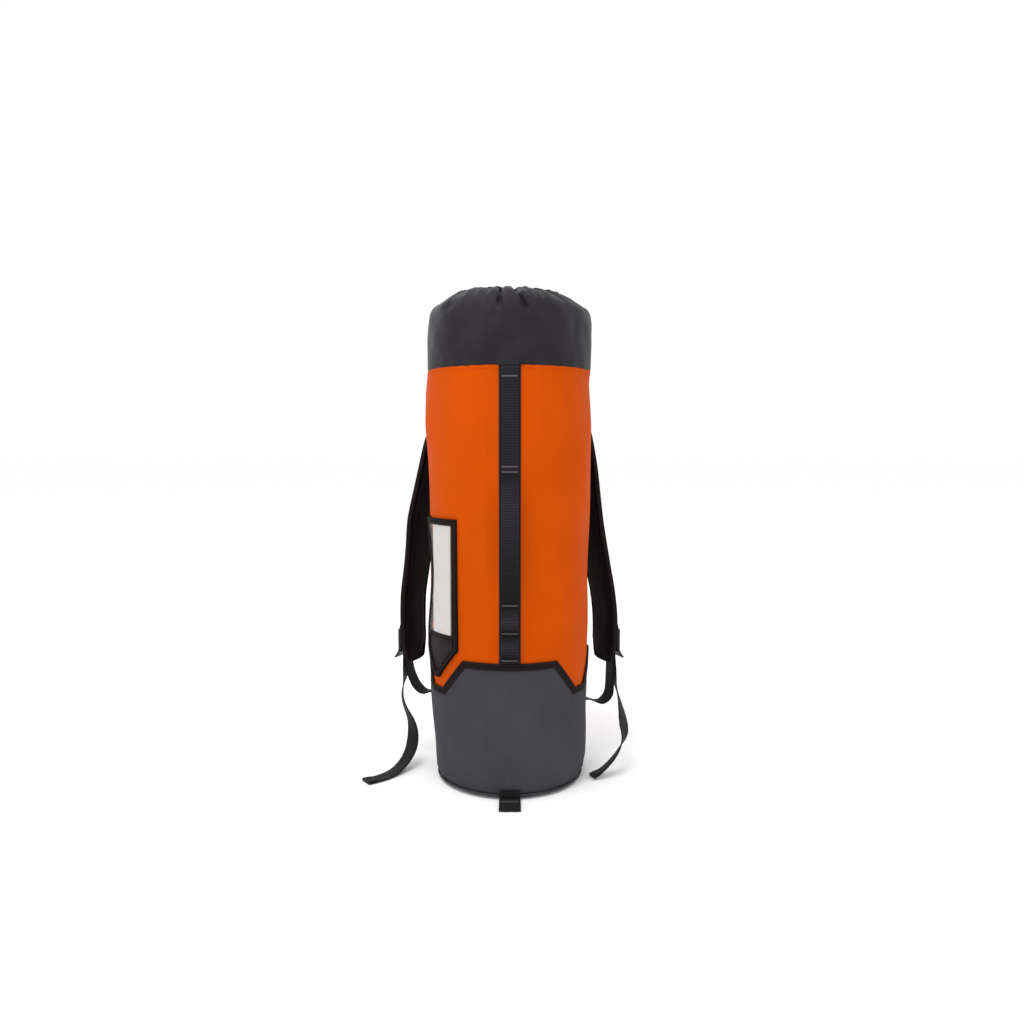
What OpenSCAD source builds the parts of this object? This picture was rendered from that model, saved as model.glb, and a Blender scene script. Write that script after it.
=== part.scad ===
// Rope storage bag: an upright round fabric bag with a zigzag base wrap, a drawcord
// skirt, a front webbing ladder, an ID pocket and two padded shoulder straps.
// Millimetres. Origin at the centre of the underside of the base, +Z up, front at -Y.

/* [Body] */
// Outside radius of the main tube at mid height
body_r = 99.5; // [98:0.5:101]
// Thickness of the coated fabric
wall = 1.2; // [0.8:0.1:1.4]
// Height of the seam between the tube and the top skirt
seam_z = 505; // [503:1:507]
// How far the tube bulges out under the top seam
bulge_r = 2.6; // [1:0.1:3]

/* [Base] */
// Thickness of the base disc
base_t = 1.6; // [1.2:0.1:2]
// Height of the upper flats of the zigzag edge
zig_top = 158; // [154:1:160]
// Height of the lower flats of the zigzag edge
zig_low = 120; // [112:1:126]
// Width of the binding that follows the zigzag edge
trim_w = 8.6; // [6:0.2:10]
// Length of the pull tab at the front of the base
tab_len = 30; // [20:1:40]

/* [Mouth] */
// Radius of the middle of the hem around the mouth
hem_r = 61; // [58:0.5:64]
// Height of the middle of the hem
hem_z = 594.5; // [593:0.5:596]
// Diameter of the drawcord
cord_d = 4; // [3:0.5:4]
// Width of the gap in the hem at the front
notch_w = 16; // [14:1:20]

/* [Front straps] */
// Width of the backing webbing
backing_w = 25; // [22:0.5:30]
// Width of the ladder webbing
ladder_w = 20; // [16:0.5:21]
// Thickness of the ladder webbing
ladder_t = 1.8; // [1.4:0.1:2]
// How far the carry handle stands away from its backing
handle_out = 15; // [10:0.5:20]
// How far the gear loops stand away from their backing
loop_out = 7.4; // [6.5:0.1:9]

/* [ID pocket] */
// Angle from the front to the middle of the pocket
pocket_az = 61; // [59:1:63]
// Width of the pocket, measured flat
pocket_w = 78; // [74:1:80]
// Height of the pocket's top edge
pocket_top = 328; // [320:1:340]
// Width of the card
card_w = 38.6; // [36:0.2:39]
// Height of the card
card_h = 134; // [120:1:134]

/* [Shoulder straps] */
// Width of a shoulder pad
pad_w = 54; // [48:1:56]
// Thickness of a shoulder pad
pad_t = 12; // [10:0.5:12]
// Width of the adjusting webbing
web_w = 20; // [18:0.5:20.5]
// Thickness of the adjusting webbing
web_t = 1.6; // [1.2:0.1:1.6]

/* [Hidden] */
$fn = 96;

orange = [0.87, 0.32, 0.03];
grey = [0.29, 0.28, 0.29];
skirt_grey = [0.21, 0.20, 0.21];
black = [0.10, 0.09, 0.10];
web_grey = [0.16, 0.15, 0.16];

// The tube's outside radius at a height: nearly straight, a little fuller under the top seam.
shape = [[0, -3.7], [14, -3.4], [60, -2.6], [120, -2], [200, -1], [290, 0], [360, bulge_r * 0.45],
    [435, bulge_r], [475, bulge_r * 0.7], [505, bulge_r * 0.3], [560, 0]];
function R(z) = body_r + lookup(z, shape);
levels = [14, 60, 120, 200, 290, 360, 435, 475];

// A point at an angle from the front, on the left (s = -1) or right (s = 1) side.
function pol(s, az, r, z) = [s * r * sin(az), -r * cos(az), z];
function unit(v) = v / norm(v);
function mix(a, b, t) = a * (1 - t) + b * t;
// A smooth curve through every point of a list, k steps from each point to the next.
function cat(a, b, c, d, t) = 0.5 * (2 * b + (c - a) * t + (2 * a - 5 * b + 4 * c - d) * t * t
    + (3 * b - a - 3 * c + d) * t * t * t);
function smooth(P, k) = [for (i = [0:len(P) - 2]) for (j = [0:k - 1])
    cat(P[max(i - 1, 0)], P[i], P[i + 1], P[min(i + 2, len(P) - 1)], j / k), P[len(P) - 1]];
function run_dir(P, i) = unit(P[min(i + 1, len(P) - 1)] - P[max(i - 1, 0)]);
function square_to(w, t) = unit(w - (w * t) * t);
function path_len(P) = len(P) < 2 ? 0 : [for (i = 0, s = 0; i < len(P); i = i + 1,
    s = s + (i < len(P) ? norm(P[i] - P[i - 1]) : 0)) s][len(P) - 1];

// Closed skin through a list of rings that all have the same number of points.
module skin(rings) {
    n = len(rings[0]);
    m = len(rings);
    polyhedron(points = [for (r = rings) each r], faces = concat(
        [[for (i = [0:n - 1]) i]],
        [for (j = [0:m - 2]) for (i = [0:n - 1])
            [j * n + i, (j + 1) * n + i, (j + 1) * n + (i + 1) % n]],
        [for (j = [0:m - 2]) for (i = [0:n - 1])
            [j * n + i, (j + 1) * n + (i + 1) % n, j * n + (i + 1) % n]],
        [[for (i = [n - 1:-1:0]) (m - 1) * n + i]]), convexity = 6);
}

// Flat webbing along a path. W holds the direction of its width at each point, T its thickness.
module ribbon(P, W, w, T) {
    skin([for (i = [0:len(P) - 1]) let (t = run_dir(P, i), u = square_to(W[i], t), n = cross(t, u))
        [for (c = [[-1, -1], [1, -1], [1, 1], [-1, 1]]) P[i] + u * c[0] * w / 2 + n * c[1] * T[i] / 2]]);
}

// Round cord along a path.
module cord(P, d, sides = 8) {
    skin([for (i = [0:len(P) - 1]) let (t = run_dir(P, i),
        u = square_to(abs(t[0]) < 0.8 ? [1, 0, 0] : [0, 1, 0], t), n = cross(t, u))
        [for (k = [0:sides - 1]) P[i] + u * cos(360 * k / sides) * d / 2 + n * sin(360 * k / sides) * d / 2]]);
}

// A layer of fabric on the tube, from a to b outside its surface.
module layer(a, b, z0, z1) {
    zs = concat([z0], [for (z = levels) if (z > z0 && z < z1) z], [z1]);
    rotate_extrude() polygon(concat([for (z = zs) [R(z) + b, z]],
        [for (i = [len(zs) - 1:-1:0]) [R(zs[i]) + a, zs[i]]]));
}

// A prism that stands on the tube at an angle from the front, on the left (s = -1) or right,
// drawn as [distance towards the back, height].
module on_side(s, az, pts) {
    mirror([s > 0 ? 1 : 0, 0, 0]) rotate([0, 0, -az]) translate([0, -60, 0]) rotate([90, 0, 0])
        linear_extrude(height = 70) polygon([for (p = pts) [-p[0], p[1]]]);
}

// A strip w wide across the front, drawn in side view as [distance in front of the axis, height].
module in_side_view(w) mirror([0, 1, 0]) rotate([0, 90, 0]) rotate([0, 0, 90]) translate([0, 0, -w / 2])
    linear_extrude(height = w) children();

// ---------------------------------------------------------------- body

module body_tube() color(orange) rotate_extrude() polygon(concat(
    [[93.7, 7.4], [R(14) - 0.9, 11.5]], [for (z = levels) [R(z), z]], [[R(seam_z), seam_z]],
    [[R(seam_z) - wall, seam_z]], [for (i = [len(levels) - 1:-1:0]) [R(levels[i]) - wall, levels[i]]],
    [[R(14) - 0.9 - wall, 12], [92.8, 8.2]]));

module base_disc() color(grey) rotate_extrude() polygon([[0, 0], [86, 0], [91, 1.6], [94.6, 5.2],
    [93.4, 6.2], [90.3, 3.2], [85.6, base_t], [0, base_t]]);

// Shape of a notch in the zigzag edge, grown by g on every side.
function notch(g) = let (slope = 0.87, side = g * 1.32, b = 12.2)
    [[-(b + side), zig_low - g], [b + side, zig_low - g],
     [b + side + (zig_top + 30 - zig_low + g) * slope, zig_top + 30],
     [-(b + side) - (zig_top + 30 - zig_low + g) * slope, zig_top + 30]];
module notches(g) for (s = [-1, 1], az = [60, 120]) on_side(s, az, notch(g));

wrap_z = [14, 60, zig_top];
module base_wrap() color(grey) difference() {
    rotate_extrude() polygon(concat([[94.1, 6.9], [95.2, 6.6], [97, 11.5]],
        [for (z = wrap_z) [R(z) + 0.15 + wall, z]],
        [for (i = [len(wrap_z) - 1:-1:0]) [R(wrap_z[i]) + 0.15, wrap_z[i]]], [[95.6, 11.8]]));
    notches(0);
}

module base_piping() color(black) rotate_extrude() translate([96.7, 4.9]) circle(r = 1.2, $fn = 24);

module zigzag_trim() color(black) difference() {
    layer(0.3 + wall, 1.3 + wall, zig_low - trim_w / 2 - 1, zig_top + trim_w / 2);
    notches(-trim_w / 2);
    difference() {
        translate([0, 0, zig_low - 20]) cylinder(r = body_r + 20, h = zig_top - trim_w / 2 - zig_low + 20);
        notches(trim_w / 2);
    }
}

module seam_binding() color(black) rotate_extrude() polygon([[R(seam_z) - wall - 0.3, seam_z - 8],
    [R(seam_z) - wall - 0.3, seam_z + 8], [R(seam_z) - wall - 1.5, seam_z + 8],
    [R(seam_z) - wall - 1.5, seam_z - 8]]);

// ---------------------------------------------------------------- mouth

// Soft dome from the seam to a hem with a channel for the drawcord.
module top_skirt() color(skirt_grey) difference() {
    rotate_extrude() difference() {
        union() {
            polygon([[R(seam_z), seam_z + 0.2], [R(seam_z) + 0.6, 530], [R(seam_z), 556],
                [R(seam_z) - 1.6, 571], [95.4, 581], [89.5, 588], [81.5, 592.8], [73, 595.8], [hem_r + 3.4, hem_z + 3],
                [hem_r + 4.4, hem_z + 1.4], [72.6, 594.6], [81, 591.6], [88.6, 587], [94.3, 580.3],
                [R(seam_z) - 2.8, 570.6], [R(seam_z) - wall, 555.8], [R(seam_z) + 0.6 - wall, 530],
                [R(seam_z) - wall, seam_z + 0.2]]);
            translate([hem_r, hem_z]) circle(r = 4.7, $fn = 40);
        }
        translate([hem_r, hem_z]) circle(r = 3.2, $fn = 32);
    }
    translate([-notch_w / 2, -hem_r - 5.4, hem_z - 5.4]) cube([notch_w, 14, 12]);
}

// Cord around the mouth inside the hem, out at the front gap and back through the lock.
lock_y = -46;
lock_z = 584;
cord_end_l = [[-12.4, -59.7, 594.5], [-8, -60.3, 594.8], [-5.2, -60.2, 593.6], [-3.6, -59.6, 590.6], [-2.7, -58.7, 587.2],
    [-2.4, -57, 584.8], [-2.3, lock_y - 8.6, lock_z + 0.05], [-2.3, lock_y, lock_z], [-2.3, lock_y + 8.2, lock_z]];
module drawcord() color(black) cord(concat(
    [for (i = [len(cord_end_l) - 1:-1:0]) cord_end_l[i]],
    [for (a = [20:8:340]) [-hem_r * sin(a), -hem_r * cos(a), hem_z]],
    [for (p = cord_end_l) [-p[0], p[1], p[2]]]), cord_d);

// Spring lock on the drawcord: barrel, push button and spring.
module cord_slot(z0, z1) hull() for (x = [-2.3, 2.3]) translate([x, lock_y - 12, 0])
    for (z = [z0, z1]) translate([0, 0, z]) rotate([-90, 0, 0]) cylinder(r = cord_d / 2 + 0.3, h = 24, $fn = 32);
module cord_lock_body() color(black) difference() {
    union() {
        translate([0, lock_y, lock_z - 16]) cylinder(r = 8, h = 22);
        translate([0, lock_y, lock_z - 14]) cylinder(r = 8.5, h = 2);
    }
    translate([0, lock_y, lock_z - 13.8]) cylinder(r = 6.2, h = 30);
    cord_slot(lock_z, lock_z);
}
module cord_lock_button() color(black) difference() {
    union() {
        translate([0, lock_y, lock_z - 5.8]) cylinder(r = 5.8, h = 18.4);
        translate([0, lock_y, lock_z + 12.2]) cylinder(r1 = 5.8, r2 = 5, h = 0.8);
    }
    cord_slot(lock_z - 0.2, lock_z + 3.4);
}
module cord_lock_spring() color([0.6, 0.6, 0.62]) cord([for (a = [0:30:1380])
    [3.6 * cos(a), lock_y + 3.6 * sin(a), lock_z - 13.1 + 6.6 * a / 1380]], 0.9, 6);

// The two loose ends hang inside the bag and are knotted together.
tail_l = [[-2.3, lock_y + 8.3, lock_z], [-2.4, -35, 583.2], [-3.2, -32.8, 579], [-4.6, -32.2, 571], [-6.4, -32.4, 556],
    [-7.8, -32.8, 536], [-8.2, -33.2, 514], [-7.4, -33.4, 492], [-5.6, -33.4, 470], [-3.6, -33.2, 452], [-2.3, -33, 440]];
tail_r = [for (p = tail_l) [-p[0], p[1] - (p[2] < 574 ? 0.8 : 0), p[2]]];
module cord_tail_left() color(black) cord(smooth(tail_l, 2), cord_d);
module cord_tail_right() color(black) cord(smooth(tail_r, 2), cord_d);
module cord_end_knot() color(black) translate([0, -33.4, 432.4]) sphere(r = 7.5, $fn = 32);

// ---------------------------------------------------------------- front straps

back_out = 0.15 + 1.4;
module front_backing_strap() color(web_grey) intersection() {
    layer(0.15, back_out, 163, seam_z - 6);
    translate([-backing_w / 2, -body_r - 20, 100]) cube([backing_w, 60, 450]);
}

// Middle of the ladder webbing in side view: [distance from the axis, height].
function lay(z, out = 0) = [R(z) + back_out + 0.1 + ladder_t / 2 + out, z];
function bow(z0, z1, out) = [for (k = [1:7]) lay(z0 + (z1 - z0) * k / 8, out * sin(180 * k / 8))];
ladder = concat([lay(498), lay(475), lay(435), lay(400), lay(380)], bow(380, 232, handle_out),
    [lay(232), lay(228)], bow(228, 200, loop_out), [lay(200), lay(196)], bow(196, 170, loop_out), [lay(170), lay(163)]);
function side2(P, d) = [for (i = [0:len(P) - 1]) let (t = run_dir(P, i)) P[i] + d * [t[1], -t[0]]];
module front_ladder_strap() color(web_grey) in_side_view(ladder_w) polygon(concat(side2(ladder, ladder_t / 2),
    [for (i = [len(ladder) - 1:-1:0]) side2(ladder, -ladder_t / 2)[i]]));

// Rows of stitching that hold the ladder webbing down.
tack_z = [492, 390, 384, 230.5, 198, 166.5];
module bar_tacks() color([0.3, 0.29, 0.3]) for (z = tack_z)
    translate([-ladder_w / 2 + 1, -lay(z)[0] - ladder_t / 2 - 0.75, z - 0.8]) cube([ladder_w - 2, 0.6, 1.6]);

// ---------------------------------------------------------------- ID pocket

pw = pocket_w / 2;
card_r = 101.6;
card_x = -10.7; // middle of the card; the pocket's back edge bows forwards
module pocket_area(pts) on_side(-1, pocket_az, pts);
module id_pocket_frame() color(black) difference() {
    intersection() {
        rotate_extrude() polygon(concat([[103.6, 120]], [for (z = [120, 200, 290, 360]) [R(z) + 0.15, z]], [[103.6, 360]]));
        pocket_area([[-pw, pocket_top], [-pw, 172], [-4, 135], [4, 135], [33, 166], [31, 190], [20, 218], [13, 245],
            [12, 262], [15, 285], [24, 308], [pw - 6, pocket_top]]);
    }
    pocket_area([[-pw + 6, 320], [-pw + 6, 190], [24.5, 190], [13.5, 218], [6.5, 245], [5.5, 262], [8.5, 285],
        [17, 308], [22.5, 320]]);
    intersection() {
        translate([0, 0, 185.6]) cylinder(r = 102.2, h = 180);
        pocket_area([[card_x - card_w / 2 - 1, 185.6], [card_x + card_w / 2 + 1, 185.6], [card_x + card_w / 2 + 1, 360],
            [card_x - card_w / 2 - 1, 360]]);
    }
}
module id_window() color([0.9, 0.9, 0.9, 0.3]) intersection() {
    translate([0, 0, 180]) difference() {
        cylinder(r = 103, h = 150);
        translate([0, 0, -1]) cylinder(r = 102.5, h = 152);
    }
    pocket_area([[-pw + 6.1, 319.9], [-pw + 6.1, 190.1], [24.3, 190.1], [13.35, 218], [6.35, 245], [5.35, 262],
        [8.35, 285], [16.85, 308], [22.3, 319.9]]);
}
module id_card() color([0.85, 0.84, 0.82]) intersection() {
    translate([0, 0, 186]) difference() {
        cylinder(r = card_r + 0.35, h = card_h);
        translate([0, 0, -1]) cylinder(r = card_r, h = card_h + 2);
    }
    pocket_area([[card_x - card_w / 2, 186], [card_x + card_w / 2, 186], [card_x + card_w / 2, 330],
        [card_x - card_w / 2, 330]]);
}

// ---------------------------------------------------------------- base tab

module base_tab_patch() color(web_grey) translate([-12.5, -99.8, 1.2]) cube([25, 1.6, 11.8]);
tab_r = 1.9;
module base_tab() color(web_grey) in_side_view(25) union() {
        translate([102.2, tab_r]) circle(r = tab_r, $fn = 32);
        translate([102.2, 0]) square([tab_len - 2, tab_r * 2]);
        translate([100.2 + tab_len, tab_r]) circle(r = tab_r, $fn = 32);
    }

// ---------------------------------------------------------------- shoulder straps

module yoke_patch() color(black) intersection() {
    layer(0.15, 1.45, 458, seam_z - 7);
    translate([-88, 40, 400]) cube([176, 80, 150]);
}

// Angle from the front and height of the middle of a pad, and its distance from the axis.
pad_az = [150, 147, 142, 136.5, 131, 127, 123, 120.5, 118.5, 117, 116, 115, 114.5, 114, 114];
pad_z = [489, 476, 462, 447, 430, 409, 378, 347, 315, 284, 253, 221, 190, 158, 134];
pad_rl = [106.2, 109, 110.9, 112, 114, 118, 122, 128, 134, 135, 137.5, 141, 141.5, 140, 137.5];
pad_rr = [106.2, 109, 110.9, 111.6, 112.4, 113.4, 115, 116.8, 119.4, 124, 129.5, 135, 138, 137.5, 135];
pad_wf = [0.74, 0.82, 0.88, 0.95, 1, 1, 1, 1, 1, 1, 1, 1, 1, 1, 0.72];
pad_tf = [0.5, 0.84, 1, 1, 1, 1, 1, 1, 1, 1, 1, 1, 1, 1, 0.6];
function pad_mid(s) = smooth([for (i = [0:len(pad_z) - 1]) pol(s, pad_az[i], s < 0 ? pad_rl[i] : pad_rr[i], pad_z[i])], 2);
function between(L, k) = [for (i = [0:len(L) - 2]) for (j = [0:k - 1]) mix(L[i], L[i + 1], j / k), L[len(L) - 1]];
wf = between(pad_wf, 2);
tf = between(pad_tf, 2);
function out_dir(p) = unit([p[0], p[1], 0]);
section = [[1, -0.4], [1, 0.4], [0.93, 0.85], [0.78, 1], [0, 1], [-0.78, 1], [-0.93, 0.85], [-1, 0.4], [-1, -0.4],
    [-0.93, -0.85], [-0.78, -1], [0, -1], [0.78, -1], [0.93, -0.85]];
module pad(s, shrink, first, last) {
    P = pad_mid(s);
    skin([for (i = [first:last]) let (t = run_dir(P, i), n = square_to(out_dir(P[i]), t), u = cross(n, t),
        a = pad_w / 2 * wf[i] - shrink, b = pad_t / 2 * tf[i] - shrink)
        [for (q = section) P[i] + u * q[0] * a + n * q[1] * b]]);
}
pad_last = 28;
module pad_cover(s) color(black) difference() {
    pad(s, 0, 0, pad_last);
    pad(s, 1, 1, pad_last - 1);
}
module pad_foam(s) color([0.25, 0.25, 0.27]) pad(s, 1.2, 2, pad_last - 2);

// Ladder lock frame: u along the bars, n outward, z up, all from the middle of the top bar.
lock_az = 114;
function bar_r(s) = s < 0 ? 153.5 : 150.5;
bar_z = 170;
module at_lock(s) translate(pol(s, lock_az, bar_r(s), bar_z)) rotate([0, 0, s < 0 ? -lock_az : lock_az]) children();
function lock_pt(s, n, z) = pol(s, lock_az, bar_r(s) + n, bar_z + z);
function lock_u(s) = [s * cos(lock_az), sin(lock_az), 0];
module ladder_lock(s) color(black) at_lock(s) {
    for (x = [-15, 11]) translate([x, -1.7, -27]) cube([4, 3.4, 30]);
    rotate([0, 90, 0]) translate([0, 0, -12]) cylinder(r = 1.6, h = 24, $fn = 32);
    translate([0, 0, -14]) rotate([0, 90, 0]) translate([0, 0, -12]) cylinder(r = 1.8, h = 24, $fn = 32);
    translate([-12, -2.8, -27]) cube([24, 3.4, 3.6]);
    rotate([0, 90, 0]) rotate([0, 0, 90]) translate([0, 0, -15]) linear_extrude(height = 30)
        polygon([[-1.1, -27.2], [-1.1, -24], [1.2, -24], [4.8, -30.6], [8, -34.4], [6.6, -36], [2.8, -32.4], [-0.4, -27.2]]
            * [[-1, 0], [0, 1]]);
}

// Webbing sewn down the pad and looped through the top bar of the lock.
function pad_face(s) = let (P = pad_mid(s)) [for (i = [3:1:23]) let (t = run_dir(P, i), n = square_to(out_dir(P[i]), t))
    P[i] + n * (pad_t / 2 * tf[i] + 0.4 + web_t / 2)];
function pad_across(s) = let (P = pad_mid(s)) [for (i = [3:1:23]) let (t = run_dir(P, i), n = square_to(out_dir(P[i]), t))
    cross(n, t) * s];
top_loop = [[-4.9, 14], [-3.9, 7], [-2.7, 2], [-2.5, -1], [-1.6, -2.1], [0, -2.65], [1.6, -2.1], [2.5, -1], [2.6, 2],
    [1, 8], [-1.6, 14.5], [-3, 22]];
module pad_webbing(s) color(web_grey) {
    F = pad_face(s);
    P = concat(F, [for (p = top_loop) lock_pt(s, p[0], p[1])]);
    ribbon(P, concat(pad_across(s), [for (p = top_loop) lock_u(s)]), web_w, [for (p = P) web_t]);
}

// Adjusting webbing wrapped over the middle bar.
wrap = [[-4.8, -30.8], [-4.8, -25], [-3.7, -19], [-2.9, -14], [-2.3, -11.8], [-1, -10.7], [0.6, -10.6], [2.1, -11.6],
    [2.85, -13.6], [2.3, -16.6], [0.2, -19.4], [-2, -22.4], [-2.7, -25.6], [-2.7, -30.8]];
module lock_wrap(s) color(web_grey) ribbon([for (p = wrap) lock_pt(s, p[0], p[1])], [for (p = wrap) lock_u(s)], web_w,
    [for (p = wrap) web_t]);

// Lower webbing: sewn to the body at its anchor, up through slack to the lock.
low_l = [[-87.7, 50.7, 72], [-88.2, 51, 80.5], [-91.3, 52.3, 86.5], [-97, 54, 89.4], [-104.7, 56, 88.7], [-110.8, 56.5, 87.5],
    [-117.7, 57, 89.5], [-124.6, 57.6, 96.4], [-129, 58.4, 104.6], [-132.6, 59.4, 114], [-135, 60.3, 126], [-135.9, 60.5, 138.2]];
low_r = [[87.7, 50.7, 62], [88.2, 51, 70], [91, 52.2, 76], [96, 54, 79.2], [103.5, 56, 78.3], [112.1, 56.8, 75], [120.2, 57.3, 74.1],
    [126.9, 57.7, 77.9], [131.6, 58.2, 85], [132.8, 58.6, 94], [133.1, 58.9, 104], [133.2, 59.2, 120], [133.2, 59.3, 138.2]];
function low_w(s, P) = [for (p = P) let (t = min(1, max(0, (p[2] - 84) / 40))) unit(mix([s * cos(120), sin(120), 0], lock_u(s), t))];
module lower_strap(s) color(web_grey) {
    P = smooth(s < 0 ? low_l : low_r, 2);
    ribbon(P, low_w(s, P), web_w, [for (p = P) web_t]);
}
module anchor_patch(s) color(black) intersection() {
    layer(0.3 + wall, 1.4 + wall, s < 0 ? 62 : 50, s < 0 ? 98 : 86);
    on_side(s, 120, [[-17, 40], [17, 40], [12, 110], [-12, 110]]);
}

// Loose ends of the adjusting webbing: route points and the direction of the width.
end_l = [[-137.9, 61.4, 138.2], [-138.2, 61.1, 129], [-139, 59.4, 118], [-140.6, 55.5, 104.3], [-142.7, 52.5, 92.9],
    [-142.6, 48.5, 81.9], [-138.9, 44.5, 70.2], [-131.6, 38.4, 56], [-127.9, 32, 43.8], [-127, 25, 32.8], [-128.8, 16, 21.6],
    [-134.5, 6.4, 11.4], [-142.1, -5, 4.9], [-150, -17, 2.2], [-159, -28, 1.7], [-168, -36, 1.8], [-177.5, -43, 2.5]];
way_l = [66, 67, 72, 86, 97, 104, 112, 122, 132, 138, 138, 132, 124, 120, 120, 124, 128];
end_r = [[135.3, 60.3, 138.2], [136, 60.2, 129], [137.8, 58.4, 116.4], [140.4, 50, 98], [143.5, 34, 82.6], [144.9, 22, 72.2],
    [145.4, 10, 62.6], [144.8, -2, 53.5], [142.7, -10, 44.4], [137.6, -15, 33.7], [129.3, -18.5, 22.3], [118.9, -21.5, 12],
    [110.5, -23.8, 6.3], [102.4, -26.4, 2.8]];
way_r = [114, 113, 108, 92, 82, 72, 64, 62, 70, 80, 84, 85, 86, 86];
module strap_tail(s) color(web_grey) {
    P = smooth(s < 0 ? end_l : end_r, 2);
    A = between(s < 0 ? way_l : way_r, 2);
    ribbon(P, [for (a = A) [cos(a), sin(a), 0]], web_w,
        [for (i = [0:len(P) - 1]) i > len(P) - 3 ? 4.4 : web_t]);
}

// ---------------------------------------------------------------- one module per node

module left_pad_cover() pad_cover(-1);
module left_pad_foam() pad_foam(-1);
module left_pad_webbing() pad_webbing(-1);
module left_ladder_lock() ladder_lock(-1);
module left_lock_wrap() lock_wrap(-1);
module left_lower_strap() lower_strap(-1);
module left_strap_tail() strap_tail(-1);
module left_anchor_patch() anchor_patch(-1);
module right_pad_cover() pad_cover(1);
module right_pad_foam() pad_foam(1);
module right_pad_webbing() pad_webbing(1);
module right_ladder_lock() ladder_lock(1);
module right_lock_wrap() lock_wrap(1);
module right_lower_strap() lower_strap(1);
module right_strap_tail() strap_tail(1);
module right_anchor_patch() anchor_patch(1);

body_tube();
base_disc();
base_wrap();
base_piping();
zigzag_trim();
seam_binding();
top_skirt();
drawcord();
cord_lock_body();
cord_lock_button();
cord_lock_spring();
cord_tail_left();
cord_tail_right();
cord_end_knot();
front_backing_strap();
front_ladder_strap();
bar_tacks();
id_pocket_frame();
id_window();
id_card();
base_tab_patch();
base_tab();
yoke_patch();
left_pad_cover();
left_pad_foam();
left_pad_webbing();
left_ladder_lock();
left_lock_wrap();
left_lower_strap();
left_strap_tail();
left_anchor_patch();
right_pad_cover();
right_pad_foam();
right_pad_webbing();
right_ladder_lock();
right_lock_wrap();
right_lower_strap();
right_strap_tail();
right_anchor_patch();
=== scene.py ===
import math

import bpy
import numpy as np
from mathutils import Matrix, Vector


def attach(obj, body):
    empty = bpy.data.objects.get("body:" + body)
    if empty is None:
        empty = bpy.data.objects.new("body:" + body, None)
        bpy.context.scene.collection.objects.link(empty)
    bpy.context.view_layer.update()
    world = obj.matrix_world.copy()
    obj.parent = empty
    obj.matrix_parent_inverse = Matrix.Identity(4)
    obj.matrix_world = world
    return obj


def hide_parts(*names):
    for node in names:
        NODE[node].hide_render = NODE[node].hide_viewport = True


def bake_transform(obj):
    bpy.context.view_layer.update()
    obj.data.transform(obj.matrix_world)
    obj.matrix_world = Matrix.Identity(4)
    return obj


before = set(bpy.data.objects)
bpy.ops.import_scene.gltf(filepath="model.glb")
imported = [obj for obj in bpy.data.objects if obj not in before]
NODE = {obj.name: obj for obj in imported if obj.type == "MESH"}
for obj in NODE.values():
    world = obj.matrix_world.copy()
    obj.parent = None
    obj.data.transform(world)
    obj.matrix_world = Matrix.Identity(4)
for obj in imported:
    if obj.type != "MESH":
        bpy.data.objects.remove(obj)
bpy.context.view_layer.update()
D2R = math.pi / 180

# ------------------------------------------------------------------ camera

cam_data = bpy.data.cameras.new("camera")
cam_data.lens = 31.22
cam_data.sensor_width = 36
cam_data.clip_start = 0.01
cam_data.clip_end = 50
cam = bpy.data.objects.new("camera", cam_data)
bpy.context.scene.collection.objects.link(cam)
cam.location = (0.0025, -1.11, 0.409)
cam.rotation_euler = (86 * D2R, 0, 0)
bpy.context.scene.camera = cam
bpy.context.scene.view_settings.view_transform = "Standard"

# ------------------------------------------------------------------ shape of the tube (millimetres)

SHAPE = np.array([[0, -3.7], [14, -3.4], [60, -2.6], [120, -2], [200, -1], [290, 0], [360, 1.17], [435, 2.6],
                  [475, 1.82], [505, 0.78], [560, 0]])
LEFT = np.array([[0, -2.4], [20, -2.9], [50, -2.4], [89, -0.2], [105, 0.6], [156, 1.9], [200, 1.2], [258, 0.4],
                 [330, -0.8], [364, -0.9], [400, 1.0], [439, 2.6], [470, 2.6], [491, 2.0], [505, 0.7], [560, 1.0],
                 [600, 0.8]])
RIGHT = np.array([[0, -3.4], [20, -2.4], [35, -0.9], [60, -0.8], [89, -2.0], [105, -1.5], [156, -1.0], [258, -1.9],
                  [330, -1.4], [364, -1.1], [400, -0.7], [439, -1.0], [470, -2.8], [491, -3.8], [505, -1.0], [560, 0],
                  [600, 0]])
SEAM_Z = 505.0
WALL = 1.2
ZIG_TOP, ZIG_LOW = 158.0, 120.0


def smooth_interp(z, tab):
    """Table lookup with rounded corners."""
    z = np.asarray(z, float)
    return sum(w * np.interp(z + d, tab[:, 0], tab[:, 1]) for d, w in ((-8, .25), (0, .5), (8, .25)))


def step(x, a, b):
    t = np.clip((np.asarray(x, float) - a) / (b - a), 0, 1)
    return t * t * (3 - 2 * t)


def wrap_az(az):
    return (np.asarray(az, float) + 180) % 360 - 180


WAVES = [(2, 0.020, 0.4, .50), (3, -0.014, 2.1, .42), (5, 0.028, 4.0, .34), (7, -0.022, 1.2, .26), (9, 0.046, 5.1, .20),
         (4, 0.052, 3.3, .26), (12, -0.034, 0.9, .13), (15, 0.070, 2.6, .10), (1, 0.035, 5.7, .35)]


def waves(az, z):
    a = np.asarray(az, float) * D2R
    z = np.asarray(z, float)
    return sum(h * np.sin(k * a + m * z + p) for k, m, p, h in WAVES)


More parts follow.
